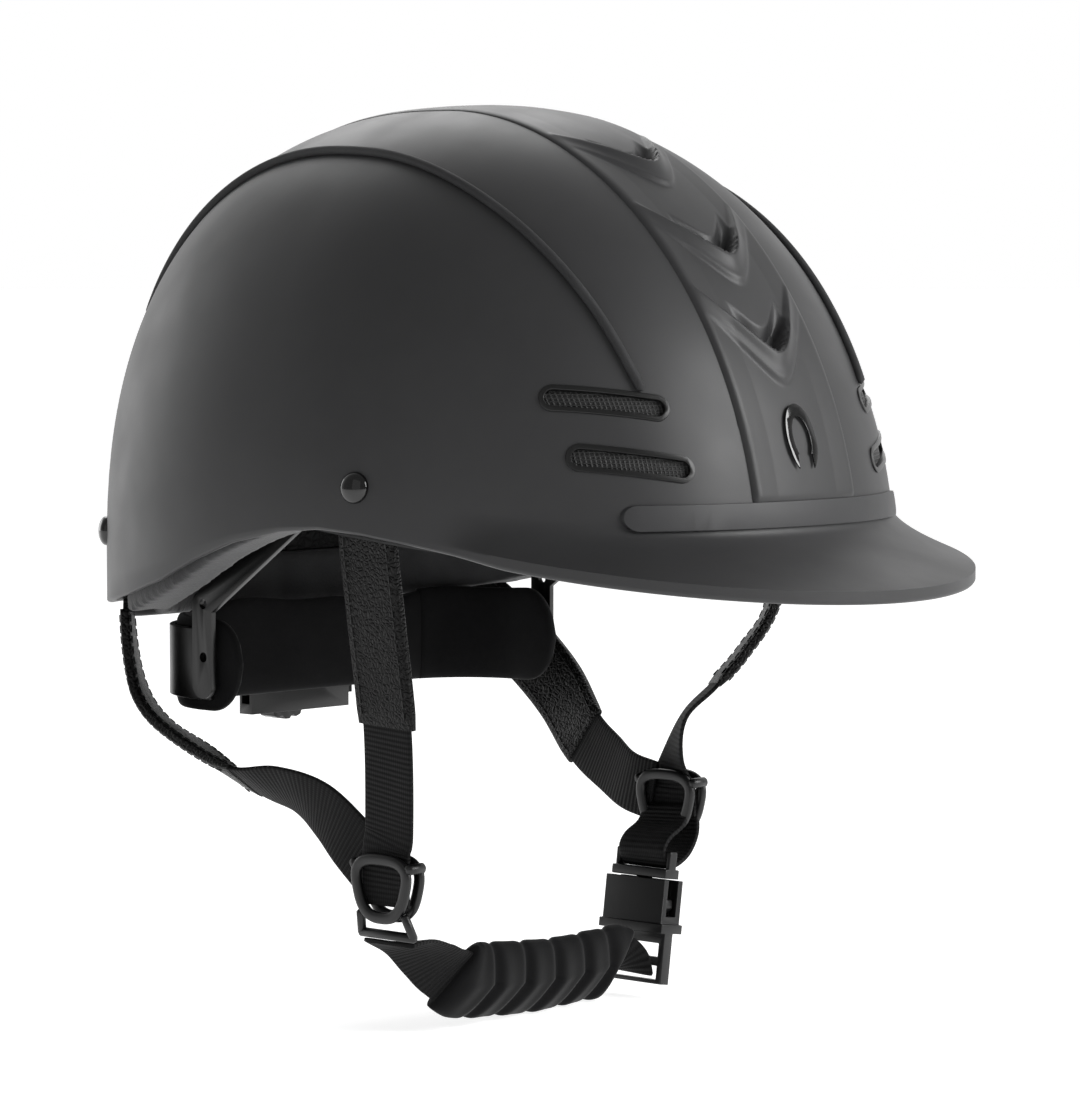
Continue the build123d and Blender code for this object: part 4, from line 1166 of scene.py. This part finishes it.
@dataclass
class Cradle:
    """Nape cradle: arms, band, pad, housing, dial and racks."""

    def build(self) -> None:
        """Build the cradle."""
        for side in Side:
            arm = softened_copy(f"cradle_arm_{side.word}", f"hanger_{side.word}", 0.4)
            fit(arm, SATIN_NYLON, "cradle_arms")
            WARDROBE.dress(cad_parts[f"rack_{side.word}"], SATIN_NYLON)
        for part, name, width, body in (("nape_band", "nape_band_moulding", 0.4, "cradle"),
                                        ("dial_housing", "dial_housing_moulding", 0.5, "cradle"),
                                        ("size_dial", "dial_knob", 0.35, "dial")):
            fit(softened_copy(part, name, width), SATIN_NYLON, body)
        for part in ("dial_pinion", "cradle_pins"):
            WARDROBE.dress(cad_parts[part], SATIN_NYLON)
        self.build_pad()

    @staticmethod
    def build_pad() -> None:
        """Soft nape pad around the inside of the band, with a wavy upper edge."""
        half, rear, front, corner, level = 74.2, 86.3, 42.0, 28.0, -33.5
        width, thick, end_length = 31.0, 5.6, 13.0
        turn = np.linspace(0, math.pi / 2, 9)
        left = np.stack([half - corner + corner * np.cos(turn), rear - corner + corner * np.sin(turn)], 1)
        plan = np.vstack([[[half, front]], left, (left * [-1, 1])[::-1], [[-half, front]]])
        rows = [(x, y, level, 0, 0, 1) for x, y in plan]

        def wave(section: np.ndarray, distance: float, length: float) -> np.ndarray:
            """Wavy upper edge and rounded ends."""
            near = min(distance, length - distance)
            end = math.sqrt(max(1 - (1 - min(near / end_length, 1))**2, 0.01))
            crest = 1.3 * math.sin(distance / 17) + 0.7 * math.sin(distance / 7.3 + 1)
            upper = np.clip(section[:, :1] / (width / 2), 0, 1) * np.array([[crest, 0]])
            return (section + upper) * np.array([end, 0.35 + 0.65 * end])

        pad = sweep("nape_suede", smooth_path(rows, 1.5), rounded_section(width, thick, 3.0, 48), wave)
        fit(pad, SUEDE, "cradle", ["nape_pad"])


# Softboxes: name, place to the right, towards the camera and up in metres, size and power
SOFTBOXES = (("key", 1.35, 0.45, 0.6, 0.8, 18.0), ("rim_left", -1.3, -1.1, 0.4, 0.8, 3.0),
             ("rim_top", -0.2, -1.3, 1.2, 1.0, 7.0), ("fill", -0.7, 1.3, 0.5, 1.2, 1.0))


@dataclass(frozen=True)
class Studio:
    """Pale floor, lights and camera."""

    azimuth: float = -47.1
    elevation: float = 3.8
    distance: float = 1500.0
    lens: float = 148.1
    aim_right: float = 14.9
    aim_up: float = -0.5

    def build(self) -> None:
        """Build the studio around the helmet."""
        azimuth, elevation = math.radians(self.azimuth), math.radians(self.elevation)
        right = Vector((math.cos(azimuth), math.sin(azimuth), 0))
        back = Vector((math.sin(azimuth) * math.cos(elevation), -math.cos(azimuth) * math.cos(elevation),
                       math.sin(elevation)))
        target = right * self.aim_right + Vector((0, 0, self.aim_up))
        camera = linked("camera", bpy.data.cameras.new("camera"))
        camera.data.lens = self.lens
        camera.data.clip_end = 100
        camera.location = (target + back * self.distance) * MM
        camera.rotation_euler = back.to_track_quat("Z", "Y").to_euler()
        bpy.context.scene.camera = camera
        self.lay_floor()
        self.hang_world(back)
        up = Vector((0, 0, 1))
        for name, across, towards, high, size, power in SOFTBOXES:
            self.softbox(name, right * across + back * towards + up * high, size, power)
        bpy.context.scene.view_settings.view_transform = "Standard"

    @staticmethod
    def softbox(name: str, place: Vector, size: float, power: float) -> None:
        """Hang a square softbox that faces the helmet."""
        lamp = linked(name, bpy.data.lights.new(name, "AREA"))
        lamp.data.size = size
        lamp.data.energy = power
        lamp.location = place
        lamp.rotation_euler = place.to_track_quat("Z", "Y").to_euler()

    @staticmethod
    def lay_floor() -> None:
        """Lay a pale floor just under the lowest piece."""
        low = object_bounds()[0].z / MM
        turn, reach, gap = turns(64), 30000, 0.5
        points = np.stack([np.cos(turn) * reach, np.sin(turn) * reach, np.full(turn.size, low - gap)], 1)
        floor = new_piece("floor", points, [tuple(range(turn.size))], False)
        # White painted floor, lit evenly so that it meets the backdrop without a line
        paint = bpy.data.materials.new("white_floor_paint")
        paint.use_nodes = True
        shader = paint.node_tree.nodes["Principled BSDF"]
        shader.inputs["Base Color"].default_value = linear("#d8d8d8")
        shader.inputs["Roughness"].default_value = 0.9
        shader.inputs["Specular IOR Level"].default_value = 0.1
        shader.inputs["Emission Color"].default_value = linear("#ffffff")
        shader.inputs["Emission Strength"].default_value = 0.72
        floor.data.materials.append(paint)
        floor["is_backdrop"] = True

    @staticmethod
    def hang_world(back: Vector) -> None:
        """Backdrop that is white behind the helmet and dimmer in front of it."""
        world = bpy.data.worlds.new("backdrop")
        bpy.context.scene.world = world
        world.use_nodes = True
        tree = world.node_tree
        shade = tree.nodes["Background"]
        place = node(tree, "ShaderNodeTexCoord")
        facing = node(tree, "ShaderNodeVectorMath", {0: place.outputs["Generated"], 1: tuple(-back)},
                      operation="DOT_PRODUCT")
        ramp = remap(tree, facing.outputs["Value"], (0.0, 0.85, 0.24, 1.0), "SMOOTHSTEP")
        tree.links.new(ramp, shade.inputs["Strength"])
        shade.inputs["Color"].default_value = (1, 1, 1, 1)


def main() -> None:
    """Build the helmet and its studio."""
    logging.basicConfig(level=logging.INFO, format="%(name)s: %(message)s")
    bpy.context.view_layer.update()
    for assembly in (Shell(), Padding(), Harness(), ChinStrap(), Cradle()):
        assembly.build()
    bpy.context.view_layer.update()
    Studio().build()


if __name__ == "__main__":
    main()
